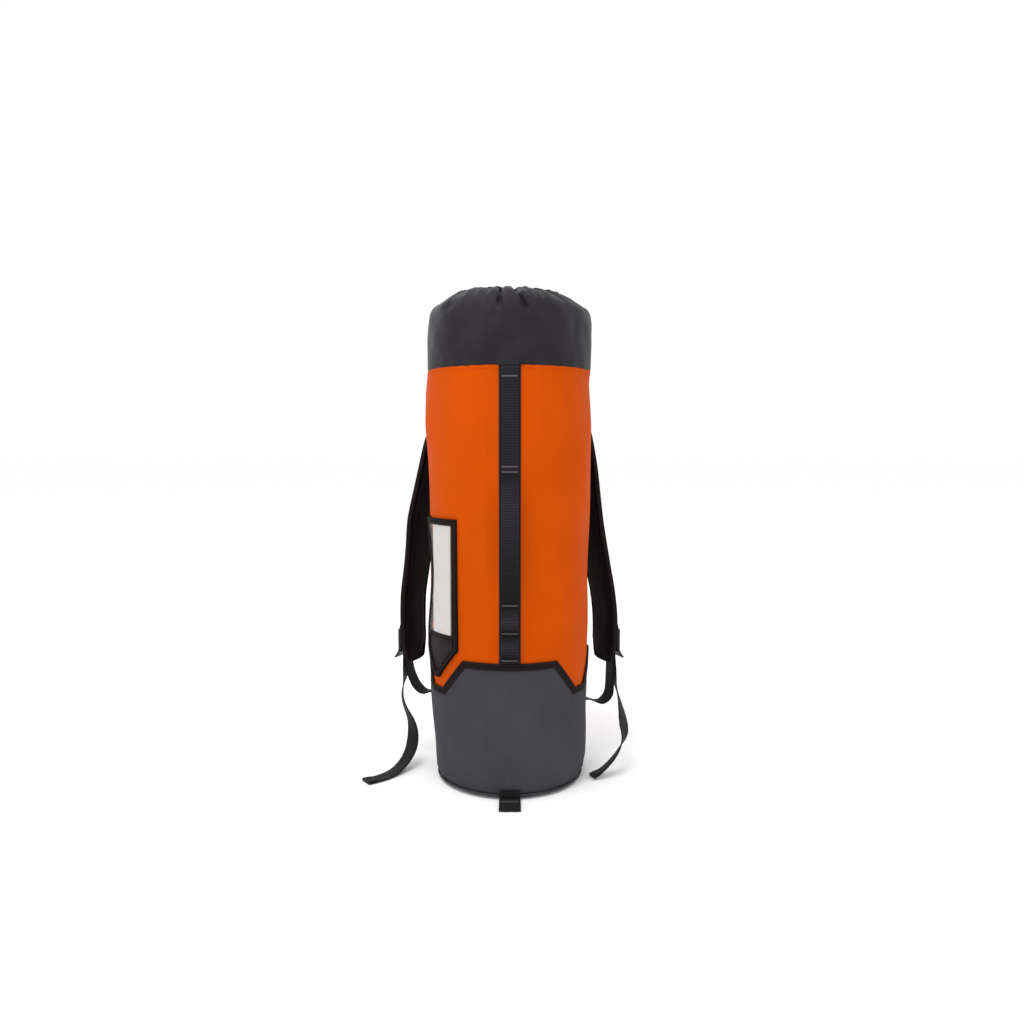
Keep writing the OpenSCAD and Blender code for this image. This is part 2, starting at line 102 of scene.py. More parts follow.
def adj(az, z):
    """How far the soft fabric stands outside (or inside) the plain round shape."""
    az = wrap_az(az)
    z = np.asarray(z, float)
    side = np.sin(az * D2R)
    out = smooth_interp(z, LEFT) * np.clip(-side, 0, 1) ** 2 + smooth_interp(z, RIGHT) * np.clip(side, 0, 1) ** 2
    keep = 0.12 + 0.88 * step(abs(az), 12, 30)
    pocket = step(az, -96, -88) * (1 - step(az, -36, -28)) * step(z, 120, 140) * (1 - step(z, 385, 405))
    keep = keep * (1 - 0.75 * pocket) * step(z, 2, 40) * (1 - 0.6 * step(z, 480, 505))
    out = out * (1 - 0.55 * pocket) + waves(az, z) * keep * 1.15
    # shallow valley beside the front strap, and small gathers under the top seam
    x = 99 * np.sin(az * D2R)
    front = abs(az) < 90
    out = out - 0.9 * front * np.exp(-((abs(x) - 19) / 5.5) ** 2) * step(z, 165, 230) * (1 - step(z, 470, 500))
    gather = np.exp(-np.clip(SEAM_Z - z, 0, None) / 16) * (z <= SEAM_Z + 1)
    out = out + 0.5 * gather * np.sin(37 * az * D2R + 1.7 * np.sin(3 * az * D2R)) * step(abs(az), 9, 14)
    # lengthwise seam at the back
    back = 180 - abs(az)
    out = out + 0.7 * (1 - step(back, 2.6, 3.3)) * (z > 20) * (z < 500)
    # the lower corner of the base draws in at the sides
    return out - 3.8 * (1 - step(z, 0, 28)) * abs(side) ** 1.5


def R0(z):
    return 99.5 + np.interp(z, SHAPE[:, 0], SHAPE[:, 1])


def rad(az, z):
    return R0(z) + adj(az, z)


def pol(az, r, z):
    """Points from angle in degrees from the front (right is positive), distance from the axis, and height."""
    az, r, z = np.broadcast_arrays(np.asarray(az, float), np.asarray(r, float), np.asarray(z, float))
    return np.stack([r * np.sin(az * D2R), -r * np.cos(az * D2R), z], -1)


def on(az, z, h=0.0):
    """Points h outside the tube's fabric."""
    az, z, h = np.broadcast_arrays(np.asarray(az, float), np.asarray(z, float), np.asarray(h, float))
    return pol(az, rad(az, z) + h, z)


def unit(v):
    v = np.asarray(v, float)
    return v / np.maximum(np.linalg.norm(v, axis=-1, keepdims=True), 1e-9)


def cat_smooth(P, k):
    """The part's own smooth curve through every point, k steps from each point to the next."""
    P = np.asarray(P, float)
    out, n = [], len(P)
    for i in range(n - 1):
        a, b, c, d = P[max(i - 1, 0)], P[i], P[i + 1], P[min(i + 2, n - 1)]
        for j in range(k):
            t = j / k
            out.append(0.5 * (2 * b + (c - a) * t + (2 * a - 5 * b + 4 * c - d) * t * t
                              + (3 * b - a - 3 * c + d) * t ** 3))
    return np.array(out + [P[-1]])


def between(L, k):
    L = np.asarray(L, float)
    return np.array([L[i] * (1 - j / k) + L[i + 1] * (j / k) for i in range(len(L) - 1) for j in range(k)] + [L[-1]])


def tangents(P, closed=False):
    P = np.asarray(P, float)
    if closed:
        return unit(np.roll(P, -1, 0) - np.roll(P, 1, 0))
    i = np.arange(len(P))
    return unit(P[np.minimum(i + 1, len(P) - 1)] - P[np.maximum(i - 1, 0)])


def square_to(w, t):
    return unit(w - (w * t).sum(-1, keepdims=True) * t)


def along(P):
    return np.concatenate([[0], np.cumsum(np.linalg.norm(np.diff(P, axis=0), axis=1))])


def resample(P, step_mm, extra=()):
    """Points evenly spaced along P; extra arrays are carried along."""
    s = along(P)
    n = max(3, int(round(s[-1] / step_mm)) + 1)
    q = np.linspace(0, s[-1], n)
    one = lambda A: np.stack([np.interp(q, s, A[:, k]) for k in range(A.shape[1])], -1) if A.ndim == 2 \
        else np.interp(q, s, A)
    return [one(np.asarray(P, float))] + [one(np.asarray(A, float)) for A in extra]


# ------------------------------------------------------------------ meshes

def make_mesh(name, V, faces, st=None, material=None, angle=38):
    """V in millimetres; st holds one (along, across) pair in metres for every face corner."""
    me = bpy.data.meshes.new(name)
    me.from_pydata([tuple(p) for p in np.asarray(V, float) * 0.001], [], [tuple(int(i) for i in f) for f in faces])
    me.update()
    if st is not None:
        a = me.attributes.new("st", "FLOAT_VECTOR", "CORNER")
        flat = np.zeros((len(me.loops), 3), np.float32)
        flat[:, :2] = np.asarray(st, float).reshape(-1, 2)
        a.data.foreach_set("vector", flat.ravel())
    finish_mesh(me, angle)
    ob = bpy.data.objects.new(name, me)
    bpy.context.scene.collection.objects.link(ob)
    if material is not None:
        me.materials.append(material)
    return ob


def finish_mesh(me, angle=38):
    co = np.zeros(len(me.vertices) * 3, np.float32)
    me.vertices.foreach_get("co", co)
    a = me.attributes.get("rp") or me.attributes.new("rp", "FLOAT_VECTOR", "POINT")
    a.data.foreach_set("vector", co)
    me.polygons.foreach_set("use_smooth", [True] * len(me.polygons))
    if angle:
        me.set_sharp_from_angle(angle=angle * D2R)
    me.update()


def sweep(name, V, material, closed=False, s=None, t=None, angle=38, caps=True):
    """A closed section carried along a path. V is (path, section, xyz) in millimetres."""
    V = np.asarray(V, float)
    n, m = V.shape[:2]
    if s is None:
        mid = V.mean(1)
        s = along(np.concatenate([mid, mid[:1]]) if closed else mid)
    if t is None:
        row = V[n // 2]
        t = along(np.concatenate([row, row[:1]]))
    s, t = np.asarray(s, float) * 0.001, np.asarray(t, float) * 0.001
    faces, st = [], []
    for i in range(n if closed else n - 1):
        a, b = i * m, ((i + 1) % n) * m
        for j in range(m):
            k = (j + 1) % m
            faces.append((a + j, b + j, b + k, a + k))
            st += [(s[i], t[j]), (s[i + 1], t[j]), (s[i + 1], t[j + 1]), (s[i], t[j + 1])]
    if not closed and caps:
        faces.append(tuple(range(m)))
        st += [(s[0], t[j]) for j in range(m)]
        faces.append(tuple((n - 1) * m + j for j in range(m - 1, -1, -1)))
        st += [(s[n - 1], t[j]) for j in range(m - 1, -1, -1)]
    ob = make_mesh(name, V.reshape(-1, 3), faces, st, material, angle)
    fix_normals(ob)
    return ob


def fix_normals(ob):
    """Turns the faces outwards if the closed mesh is inside out."""
    me = ob.data
    me.calc_loop_triangles()
    co = np.array([v.co for v in me.vertices], float)
    tri = np.array([t.vertices for t in me.loop_triangles])
    a, b, c = co[tri[:, 0]], co[tri[:, 1]], co[tri[:, 2]]
    if (a * np.cross(b, c)).sum() < 0:
        st = me.attributes.get("st")
        if st:
            old = np.zeros(len(me.loops) * 3, np.float32)
            st.data.foreach_get("vector", old)
            old = old.reshape(-1, 3)
            verts_old = np.zeros(len(me.loops), int)
            me.loops.foreach_get("vertex_index", verts_old)
            new = old.copy()
            for p in me.polygons:
                k = np.arange(p.loop_start, p.loop_start + p.loop_total)
                new[k] = old[np.concatenate([k[:1], k[1:][::-1]])]
        me.flip_normals()
        if st:
            me.attributes["st"].data.foreach_set("vector", new.ravel())
        me.update()


def section_flat(w, t, edge=0.5):
    """Section of flat webbing: width w, thickness t, rounded selvedges. Returns (u, n) pairs."""
    a, b = w / 2, t / 2
    top = [(-a, 0), (-a + 0.12 * t, 0.62 * b), (-a + 0.45 * t, b), (-a * 0.62, b), (-a * 0.22, b), (a * 0.22, b),
           (a * 0.62, b), (a - 0.45 * t, b), (a - 0.12 * t, 0.62 * b), (a, 0)]
    bottom = [(u, -n) for u, n in top[1:-1]][::-1]
    return np.array(top + bottom)


def ribbon(name, P, W, w, T, material, step_mm=2.0, curl=0.0, rib=0.0, rib_pitch=2.6, refine=4, angle=50):
    """Webbing along P; W is the direction of its width, T its thickness, all lists along P."""
    P, W = np.asarray(P, float), np.asarray(W, float)
    T = np.broadcast_to(np.asarray(T, float), (len(P),)).copy()
    w_l = np.broadcast_to(np.asarray(w, float), (len(P),)).copy()
    Q = cat_smooth(P, refine) if refine > 1 else P
    Wq = between(W, refine) if refine > 1 else W
    Tq = between(T, refine) if refine > 1 else T
    wq = between(w_l, refine) if refine > 1 else w_l
    Q, Wq, Tq, wq = resample(Q, step_mm, (Wq, Tq, wq))
    t = tangents(Q)
    u = square_to(Wq, t)
    n = np.cross(t, u)
    s = along(Q)
    rows = []
    for i in range(len(Q)):
        sec = section_flat(wq[i], Tq[i])
        lift = curl * (1 - (2 * sec[:, 0] / wq[i]) ** 2)
        grow = 1 + rib * (2 * abs(math.sin(math.pi * s[i] / rib_pitch)) - 1) if rib else 1
        rows.append(Q[i] + u[i] * sec[:, :1] + n[i] * (sec[:, 1:] * grow + lift[:, None]))
    sec = section_flat(float(np.median(wq)), float(np.median(Tq)))
    tt = along(np.concatenate([sec, sec[:1]]))
    return sweep(name, np.array(rows), material, s=s, t=tt, angle=angle), Q


def tube(name, P, r, material, closed=False, sides=14, step_mm=1.2, wobble=None, refine=4):
    """Round cord along P."""
    P = np.asarray(P, float)
    Q = cat_smooth(P, refine) if refine > 1 else P
    Q, = resample(Q, step_mm)
    if closed:
        Q = Q[:-1]
    t = tangents(Q, closed)
    u = np.zeros_like(Q)
    first = np.array([1.0, 0, 0]) if abs(t[0][0]) < 0.8 else np.array([0, 1.0, 0])
    u[0] = unit(first - first @ t[0] * t[0])
    for i in range(1, len(Q)):
        u[i] = unit(u[i - 1] - (u[i - 1] @ t[i]) * t[i])
    n = np.cross(t, u)
    a = np.arange(sides) * 2 * math.pi / sides
    rr = np.full((len(Q), sides), float(r)) if wobble is None else wobble(Q, a)
    if not closed:
        for k, f in ((0, .55), (1, .88), (len(Q) - 2, .88), (len(Q) - 1, .55)):
            rr[k] *= f
    V = Q[:, None] + rr[..., None] * (u[:, None] * np.cos(a)[None, :, None] + n[:, None] * np.sin(a)[None, :, None])
    s = along(np.concatenate([Q, Q[:1]]) if closed else Q)
    return sweep(name, V, material, closed=closed, s=s, t=np.arange(sides + 1) * 2 * math.pi * r / sides, angle=0), Q


def stitch_row(P, N, pitch=3.2, length=2.3, r=0.3, closed=False, lift=0.12):
    """Thread stitches along P with outward directions N. Returns one row of stitches for stitches()."""
    s = along(np.concatenate([P, P[:1]]) if closed else P)
    PP = np.concatenate([P, P[:1]]) if closed else P
    NN = np.concatenate([N, N[:1]]) if closed else N
    n = int(s[-1] / pitch)
    if n < 1:
        return []
    c = (np.arange(n) + 0.5) * s[-1] / n
    one = lambda q: np.stack([np.interp(q, s, PP[:, k]) for k in range(3)], -1)
    mid, a, b = one(c), one(c - length / 2), one(c + length / 2)
    t = unit(b - a)
    nn = square_to(np.stack([np.interp(c, s, NN[:, k]) for k in range(3)], -1), t)
    return [(mid, t, nn, length, r, lift)]


def stitches(name, rows, material):
    """One mesh of small thread stitches from the rows that stitch_row and tack return."""
    V, F = [], []
    base = 0
    for mid, t, nn, length, r, lift in rows:
        u = np.cross(t, nn)
        k = len(mid)
        rings = []
        for f, g, h in ((-0.5, 0.35, -0.9), (-0.28, 1.0, 0.0), (0.28, 1.0, 0.0), (0.5, 0.35, -0.9)):
            c = mid + t * (f * length) + nn * (lift + h * r)
            rings.append(np.stack([c + u * (r * g * x) + nn * (r * g * y)
                                   for x, y in ((-1, 0), (0, 1), (1, 0), (0, -1))], 1))
        A = np.stack(rings, 1)  # stitch, ring, corner
        V.append(A.reshape(-1, 3))
        cell = []
        for q in range(3):
            for j in range(4):
                cell.append((q * 4 + j, (q + 1) * 4 + j, (q + 1) * 4 + (j + 1) % 4, q * 4 + (j + 1) % 4))
        cell += [(0, 1, 2, 3), (15, 14, 13, 12)]
        for i in range(k):
            o = base + i * 16
            F += [tuple(o + x for x in f) for f in cell]
        base += k * 16
    V = np.concatenate(V)
    ob = make_mesh(name, V, F, np.zeros((sum(len(f) for f in F), 2)), material, angle=0)
    return ob


def tape_rows(pts, closed, offsets, step_mm=3.0):
    """Offset copies of a polyline in the unrolled plane, mitred at its corners: (path, offset, 2)."""
    pts = np.asarray(pts, float)
    n = len(pts)
    rows = []
    for i in range(n):
        p = pts[i]
        a = pts[(i - 1) % n] if (closed or i > 0) else None
        b = pts[(i + 1) % n] if (closed or i < n - 1) else None
        d1 = unit(p - a) if a is not None else None
        d2 = unit(b - p) if b is not None else None
        d1 = d2 if d1 is None else d1
        d2 = d1 if d2 is None else d2
        n1, n2 = np.array([-d1[1], d1[0]]), np.array([-d2[1], d2[0]])
        m = (n1 + n2) / (1 + n1 @ n2)
        rows.append(p + np.outer(offsets, m))
    out = []
    for i in range(n if closed else n - 1):
        A, B = rows[i], rows[(i + 1) % n]
        k = max(1, int(np.ceil(np.linalg.norm(pts[(i + 1) % n] - pts[i]) / step_mm)))
        out += [A * (1 - j / k) + B * (j / k) for j in range(k)]
    if not closed:
        out.append(rows[-1])
    return np.array(out)


def tape(name, pts, closed, width, h0, h1, material, place, step_mm=3.0):
    """A strip of tape on the fabric. place(x, z, h) puts unrolled points on the surface."""
    a = width / 2
    off = np.array([-a, -a + 0.25, -a + 0.8, -a * 0.55, 0, a * 0.55, a - 0.8, a - 0.25, a])
    top = np.array([0.35, 0.8, 1.0, 0.93, 0.9, 0.93, 1.0, 0.8, 0.35])
    rows = tape_rows(pts, closed, off, step_mm)
    up = place(rows[..., 0], rows[..., 1], h0 + (h1 - h0) * top[None, :])
    down = place(rows[..., 0], rows[..., 1], h0)[:, ::-1]
    V = np.concatenate([up, down], 1)
    return sweep(name, V, material, closed=closed, t=np.concatenate([off + a, off[::-1] + a + 0.01, [0]]), angle=45)


def tape_stitches(pts, closed, d, place, h, pitch=3.2):
    """A stitch row along a tape at the distance d from its middle."""
    rows = tape_rows(pts, closed, np.array([d]), 2.0)[:, 0]
    P = place(rows[:, 0], rows[:, 1], h)
    return stitch_row(P, np.stack([P[:, 0], P[:, 1], 0 * P[:, 0]], -1), pitch=pitch, closed=closed)


def panel(name, zs, left, right, h0, h1, material, place, cols=24, edge=1.0):
    """A flat piece on the fabric between left(z) and right(z), with soft edges."""
    zs = np.asarray(zs, float)
    f = np.linspace(0, 1, cols + 1)
    L = np.array([left(z) for z in zs])[:, None]
    Rr = np.array([right(z) for z in zs])[:, None]
    X = L + (Rr - L) * f
    Z = np.repeat(zs[:, None], cols + 1, 1)
    dist = np.minimum(np.minimum(X - L, Rr - X), np.minimum(Z - zs.min(), zs.max() - Z))
    drop = np.clip(1 - dist / edge, 0, 1) ** 2
    up = place(X, Z, h1 - (h1 - h0) * 0.6 * drop)
    down = place(X, Z, h0 + 0 * X)[:, ::-1]
    V = np.concatenate([up, down], 1)
    x = X[len(zs) // 2]
    return sweep(name, V, material, s=zs - zs[0], t=np.concatenate([x, x[::-1], x[:1]]), angle=45)


def front_place(x, z, h):
    return on(np.asarray(x, float) / 99.5 / D2R, z, h)


# ------------------------------------------------------------------ materials

class Tree:
    def __init__(self, name):
        self.m = bpy.data.materials.new(name)
        self.m.use_nodes = True
        self.t = self.m.node_tree
        self.b = self.t.nodes["Principled BSDF"]

    def node(self, kind, **props):
        n = self.t.nodes.new("ShaderNode" + kind)
        for k, v in props.items():
            setattr(n, k, v)
        return n

    def put(self, sock, v):
        if isinstance(v, bpy.types.NodeSocket):
            self.t.links.new(v, sock)
        else:
            sock.default_value = v

    def math(self, op, a, b=0.0, c=0.0):
        n = self.node("Math", operation=op)
        self.put(n.inputs[0], a)
        self.put(n.inputs[1], b)
        if op in ("MULTIPLY_ADD", "SMOOTH_MIN", "SMOOTH_MAX"):
            self.put(n.inputs[2], c)
        return n.outputs[0]

    def attr(self, name):
        n = self.node("Attribute", attribute_name=name)
        return n.outputs["Vector"]

    def xyz(self, v):
        n = self.node("SeparateXYZ")
        self.put(n.inputs[0], v)
        return n.outputs

    def noise(self, vec, scale, detail=2.0, rough=0.5):
        n = self.node("TexNoise")
        self.put(n.inputs["Vector"], vec)
        n.inputs["Scale"].default_value = scale
        n.inputs["Detail"].default_value = detail
        n.inputs["Roughness"].default_value = rough
        return n.outputs["Fac"]

    def ramp(self, v, lo, hi, a=0.0, b=1.0):
        n = self.node("MapRange")
        n.clamp = True
        self.put(n.inputs[0], v)
        n.inputs[1].default_value, n.inputs[2].default_value = lo, hi
        n.inputs[3].default_value, n.inputs[4].default_value = a, b
        return n.outputs[0]

    def mix(self, f, a, b):
        n = self.node("Mix", data_type="RGBA")
        self.put(n.inputs[0], f)
        self.put(n.inputs[6], a if isinstance(a, bpy.types.NodeSocket) else (*a, 1))
        self.put(n.inputs[7], b if isinstance(b, bpy.types.NodeSocket) else (*b, 1))
        return n.outputs[2]

    def bump(self, height, dist, strength=1.0, normal=None):
        n = self.node("Bump")
        n.inputs["Strength"].default_value = strength
        n.inputs["Distance"].default_value = dist
        self.put(n.inputs["Height"], height)
        if normal is not None:
            self.put(n.inputs["Normal"], normal)
        return n.outputs[0]


def lin(r, g, b):
    f = lambda c: ((c / 255 + 0.055) / 1.055) ** 2.4 if c > 10 else c / 255 / 12.92
    return (f(r), f(g), f(b))


def mul(c, k):
    return tuple(min(1.0, x * k) for x in c)


def weave_height(T, st, pu, pv):
    """Plain weave: threads of pitch pu and pv going over and under."""
    x, y, _ = T.xyz(st)
    sx = T.math("SINE", T.math("MULTIPLY", x, 2 * math.pi / pu))
    sy = T.math("SINE", T.math("MULTIPLY", y, 2 * math.pi / pv))
    return T.math("MULTIPLY_ADD", T.math("MULTIPLY", sx, sy), 0.5, 0.5)


def cloth(name, colour, rough=0.6, sheen=0.2, pitch=0.0009, depth=0.00012, vary=0.08, coat=0.0, scuff=0.0,
          crease=0.0, ripstop=0.0, spec=0.12):
    T = Tree(name)
    st, rp = T.attr("st"), T.attr("rp")
    h = weave_height(T, st, pitch, pitch)
    big = T.noise(rp, 16, 3)
    fine = T.noise(rp, 900, 2)
    # random tone over large patches; where vary is high, as on the skirt, the paler patches are painted sheen on
    # soft-lit creases
    col = T.mix(T.ramp(big, 0.32, 0.68), mul(colour, 1 - vary), mul(colour, 1 + vary))
    col = T.mix(T.math("MULTIPLY", T.ramp(fine, 0.3, 0.7), 0.22), col, mul(colour, 0.72))
    col = T.mix(T.math("MULTIPLY", T.ramp(h, 0.0, 0.35, 1.0, 0.0), 0.16), col, mul(colour, 0.55))
    if ripstop:
        x, y, _ = T.xyz(st)
        line = T.math("MAXIMUM", T.ramp(T.math("COSINE", T.math("MULTIPLY", x, 2 * math.pi / ripstop)), 0.93, 1.0),
                      T.ramp(T.math("COSINE", T.math("MULTIPLY", y, 2 * math.pi / ripstop)), 0.93, 1.0))
        h = T.math("MULTIPLY_ADD", line, 0.9, h)
        col = T.mix(T.math("MULTIPLY", line, 0.25), col, mul(colour, 1.3))
    if scuff:
        z = T.xyz(rp)[2]
        low = T.ramp(z, 0.004, 0.05, 1.0, 0.0)
        marks = T.ramp(T.noise(rp, 70, 6, 0.7), 0.52, 0.72)
        f = T.math("MULTIPLY", T.math("MULTIPLY", low, marks), scuff)
        col = T.mix(f, col, mul(colour, 1.9))
    T.put(T.b.inputs["Base Color"], col)
    r = T.math("ADD", T.math("MULTIPLY", T.math("SUBTRACT", T.noise(rp, 45, 3), 0.5), 0.22), rough)
    T.put(T.b.inputs["Roughness"], r)
    T.b.inputs["Sheen Weight"].default_value = sheen
    T.b.inputs["Sheen Roughness"].default_value = 0.45
    T.b.inputs["Coat Weight"].default_value = coat
    T.b.inputs["Coat Roughness"].default_value = 0.35
    T.b.inputs["Specular IOR Level"].default_value = spec
    nrm = T.bump(h, depth, 1.0)
    if crease:
        nrm = T.bump(T.noise(rp, 38, 4, 0.55), crease, 0.8, nrm)
    T.put(T.b.inputs["Normal"], nrm)
    return T.m


def webbing(name, colour, rib=0.0021, light=1.9, depth=0.0005, rough=0.6, painted_fold_shade=None):
    """Ribbed webbing: bars across it and a fine twill along them."""
    T = Tree(name)
    st, rp = T.attr("st"), T.attr("rp")
    x, y, _ = T.xyz(st)
    bar = T.math("ABSOLUTE", T.math("SINE", T.math("MULTIPLY", x, math.pi / rib)))
    tw = T.math("SINE", T.math("MULTIPLY", T.math("ADD", T.math("MULTIPLY", x, 0.8), y), 2 * math.pi / 0.0011))
    h = T.math("MULTIPLY_ADD", tw, 0.18, T.math("POWER", bar, 0.7))
    big = T.noise(rp, 55, 3)
    col = T.mix(T.ramp(bar, 0.05, 0.55, 0.0, 1.0), mul(colour, 0.42), colour)
    col = T.mix(T.math("MULTIPLY", T.ramp(tw, -0.2, 1.0), 0.35), col, mul(colour, light))
    col = T.mix(T.math("MULTIPLY", T.ramp(big, 0.35, 0.7), 0.35), col, mul(colour, 1.35))
    if painted_fold_shade:
        # painted shade and highlight by height: paler where it bows out towards the light, darker in the creases beside
        # the tacks where shade falls
        lo, hi = painted_fold_shade[0][0], painted_fold_shade[-1][0]
        cr = T.node("ValToRGB")
        el = cr.color_ramp.elements
        for k, (z, v) in enumerate(painted_fold_shade):
            e = el[k] if k < 2 else el.new((z - lo) / (hi - lo))
            e.position = (z - lo) / (hi - lo)
            e.color = (v / 2, v / 2, v / 2, 1)
        T.put(cr.inputs[0], T.ramp(T.xyz(rp)[2], lo, hi))
        m = T.node("Mix", data_type="RGBA", blend_type="MULTIPLY")
        m.inputs[0].default_value = 1.0
        dbl = T.node("Mix", data_type="RGBA", blend_type="ADD")
        dbl.inputs[0].default_value = 1.0
        T.put(dbl.inputs[6], col)
        T.put(dbl.inputs[7], col)
        T.put(m.inputs[6], dbl.outputs[2])
        T.put(m.inputs[7], cr.outputs[0])
        col = m.outputs[2]
    T.put(T.b.inputs["Base Color"], col)
    T.put(T.b.inputs["Roughness"], T.math("ADD", T.math("MULTIPLY", T.noise(rp, 200, 2), 0.2), rough - 0.1))
    T.b.inputs["Sheen Weight"].default_value = 0.02
    T.b.inputs["Specular IOR Level"].default_value = 0.12
    T.put(T.b.inputs["Normal"], T.bump(h, depth, 1.0))
    return T.m


def spacer(name, colour):
    """Knitted spacer mesh: small round holes in rows."""
    T = Tree(name)
    rp = T.attr("rp")
    v = T.node("TexVoronoi", feature="F1")
    T.put(v.inputs["Vector"], rp)
    v.inputs["Scale"].default_value = 420
    v.inputs["Randomness"].default_value = 0.35
    d = v.outputs["Distance"]
    hole = T.ramp(d, 0.18, 0.42, 0.0, 1.0)
    col = T.mix(hole, mul(colour, 0.35), colour)
    col = T.mix(T.math("MULTIPLY", T.ramp(T.noise(rp, 30, 3), 0.35, 0.7), 0.3), col, mul(colour, 1.5))
    T.put(T.b.inputs["Base Color"], col)
    T.b.inputs["Roughness"].default_value = 0.85
    T.b.inputs["Sheen Weight"].default_value = 0.02
    T.b.inputs["Specular IOR Level"].default_value = 0.06
    n1 = T.bump(hole, 0.0005, 0.9)
    T.put(T.b.inputs["Normal"], T.bump(T.noise(rp, 60, 3), 0.0012, 0.5, n1))
    return T.m


def braid(name, colour, pitch=0.0022, circ=0.0126):
    T = Tree(name)
    st, rp = T.attr("st"), T.attr("rp")
    x, y, _ = T.xyz(st)
    a = T.math("MULTIPLY", x, 2 * math.pi / pitch)
    b = T.math("MULTIPLY", y, 2 * math.pi * 4 / circ)
    s1, s2 = T.math("SINE", T.math("ADD", a, b)), T.math("SINE", T.math("SUBTRACT", a, b))
    h = T.math("MAXIMUM", s1, s2)
    col = T.mix(T.ramp(h, 0.0, 0.8), mul(colour, 0.4), mul(colour, 1.3))
    T.put(T.b.inputs["Base Color"], col)
    T.b.inputs["Roughness"].default_value = 0.6
    T.b.inputs["Specular IOR Level"].default_value = 0.2
    T.b.inputs["Sheen Weight"].default_value = 0.05
    T.put(T.b.inputs["Normal"], T.bump(h, 0.0004, 0.9))
    return T.m


def plain(name, colour, rough, spec=0.5, grain=0.0, scale=900, metal=0.0, vary=0.1, coords="Object", sheen=0.0,
          wear=0.0):
    T = Tree(name)
    co = T.node("TexCoord").outputs["Object"] if coords == "Object" else T.attr("rp")
    n = T.noise(co, scale, 3)
    big = T.noise(co, 60, 3)
    col = T.mix(T.ramp(big, 0.3, 0.7), mul(colour, 1 - vary), mul(colour, 1 + vary))
    if wear:
        col = T.mix(T.math("MULTIPLY", T.ramp(T.noise(co, 260, 5, 0.7), 0.56, 0.7), wear), col, mul(colour, 2.6))
    T.put(T.b.inputs["Base Color"], col)
    T.put(T.b.inputs["Roughness"], T.math("ADD", T.math("MULTIPLY", T.math("SUBTRACT", big, 0.5), 0.25), rough))
    T.b.inputs["Metallic"].default_value = metal
    T.b.inputs["Specular IOR Level"].default_value = spec
    T.b.inputs["Sheen Weight"].default_value = sheen
    if grain:
        T.put(T.b.inputs["Normal"], T.bump(n, grain, 0.7))
    return T.m


def film(name):
    T = Tree(name)
    rp = T.attr("rp")
    n = T.noise(rp, 26, 3, 0.5)
    T.put(T.b.inputs["Base Color"], T.mix(T.ramp(n, 0.35, 0.65), (0.86, 0.86, 0.84), (0.95, 0.95, 0.94)))
    T.put(T.b.inputs["Roughness"], T.ramp(n, 0.3, 0.7, 0.08, 0.24))
    T.put(T.b.inputs["Alpha"], T.ramp(T.noise(rp, 120, 2), 0.3, 0.7, 0.04, 0.08))
    T.b.inputs["Specular IOR Level"].default_value = 0.5
    T.b.inputs["Coat Weight"].default_value = 0.1
    T.b.inputs["Coat Roughness"].default_value = 0.1
    T.put(T.b.inputs["Normal"], T.bump(n, 0.0015, 0.6))
    try:
        T.m.surface_render_method = "BLENDED"
    except AttributeError:
        pass
    return T.m


def card_stock(name, colour):
    """Off-white card with plain ruled lines to write on."""
    T = Tree(name)
    st, rp = T.attr("st"), T.attr("rp")
    x, y, _ = T.xyz(st)
    # x runs up the card from its lower edge, y across it
    rule = T.ramp(T.math("COSINE", T.math("MULTIPLY", x, 2 * math.pi / 0.0105)), 0.988, 0.997)
    inside = T.math("MULTIPLY", T.ramp(x, 0.0868, 0.087), T.ramp(x, 0.124, 0.1242, 1.0, 0.0))
    edge = T.math("MULTIPLY", T.ramp(y, 0.0058, 0.006), T.ramp(y, 0.033, 0.0332, 1.0, 0.0))
    f = T.math("MULTIPLY", T.math("MULTIPLY", rule, T.math("MULTIPLY", inside, edge)), 0.8)
    col = T.mix(T.ramp(T.noise(rp, 40, 3), 0.3, 0.7), mul(colour, 0.96), mul(colour, 1.03))
    col = T.mix(f, col, (0.16, 0.15, 0.15))
    T.put(T.b.inputs["Base Color"], col)
    T.b.inputs["Roughness"].default_value = 0.65
    T.put(T.b.inputs["Normal"], T.bump(T.noise(rp, 1500, 2), 0.00005, 0.6))
    return T.m


M_ORANGE = cloth("orange_cloth", lin(196, 74, 0), rough=0.55, sheen=0.0, pitch=0.0010, depth=0.00010, vary=0.05,
                 coat=0.0, crease=0.0009, spec=0.03)
M_GREY = cloth("base_cloth", lin(62, 61, 66), rough=0.62, sheen=0.0, pitch=0.0013, depth=0.00018, vary=0.10,
               scuff=0.3, crease=0.0012, spec=0.06)
# the skirt's high vary paints mottled paler patches as sheen on soft-lit creases
M_SKIRT = cloth("skirt_cloth", lin(38, 35, 40), rough=0.42, sheen=0.02, pitch=0.0007, depth=0.00008, vary=0.30,
                crease=0.0022, ripstop=0.005, spec=0.1)
M_BIND = cloth("binding_tape", lin(26, 20, 20), rough=0.7, sheen=0.0, pitch=0.0011, depth=0.00016, vary=0.12, spec=0.06)
M_PANEL = cloth("black_panel", lin(36, 31, 32), rough=0.6, sheen=0.0, pitch=0.0011, depth=0.00014, vary=0.12, spec=0.08)
M_WEB = webbing("webbing", lin(21, 20, 23), light=1.5)
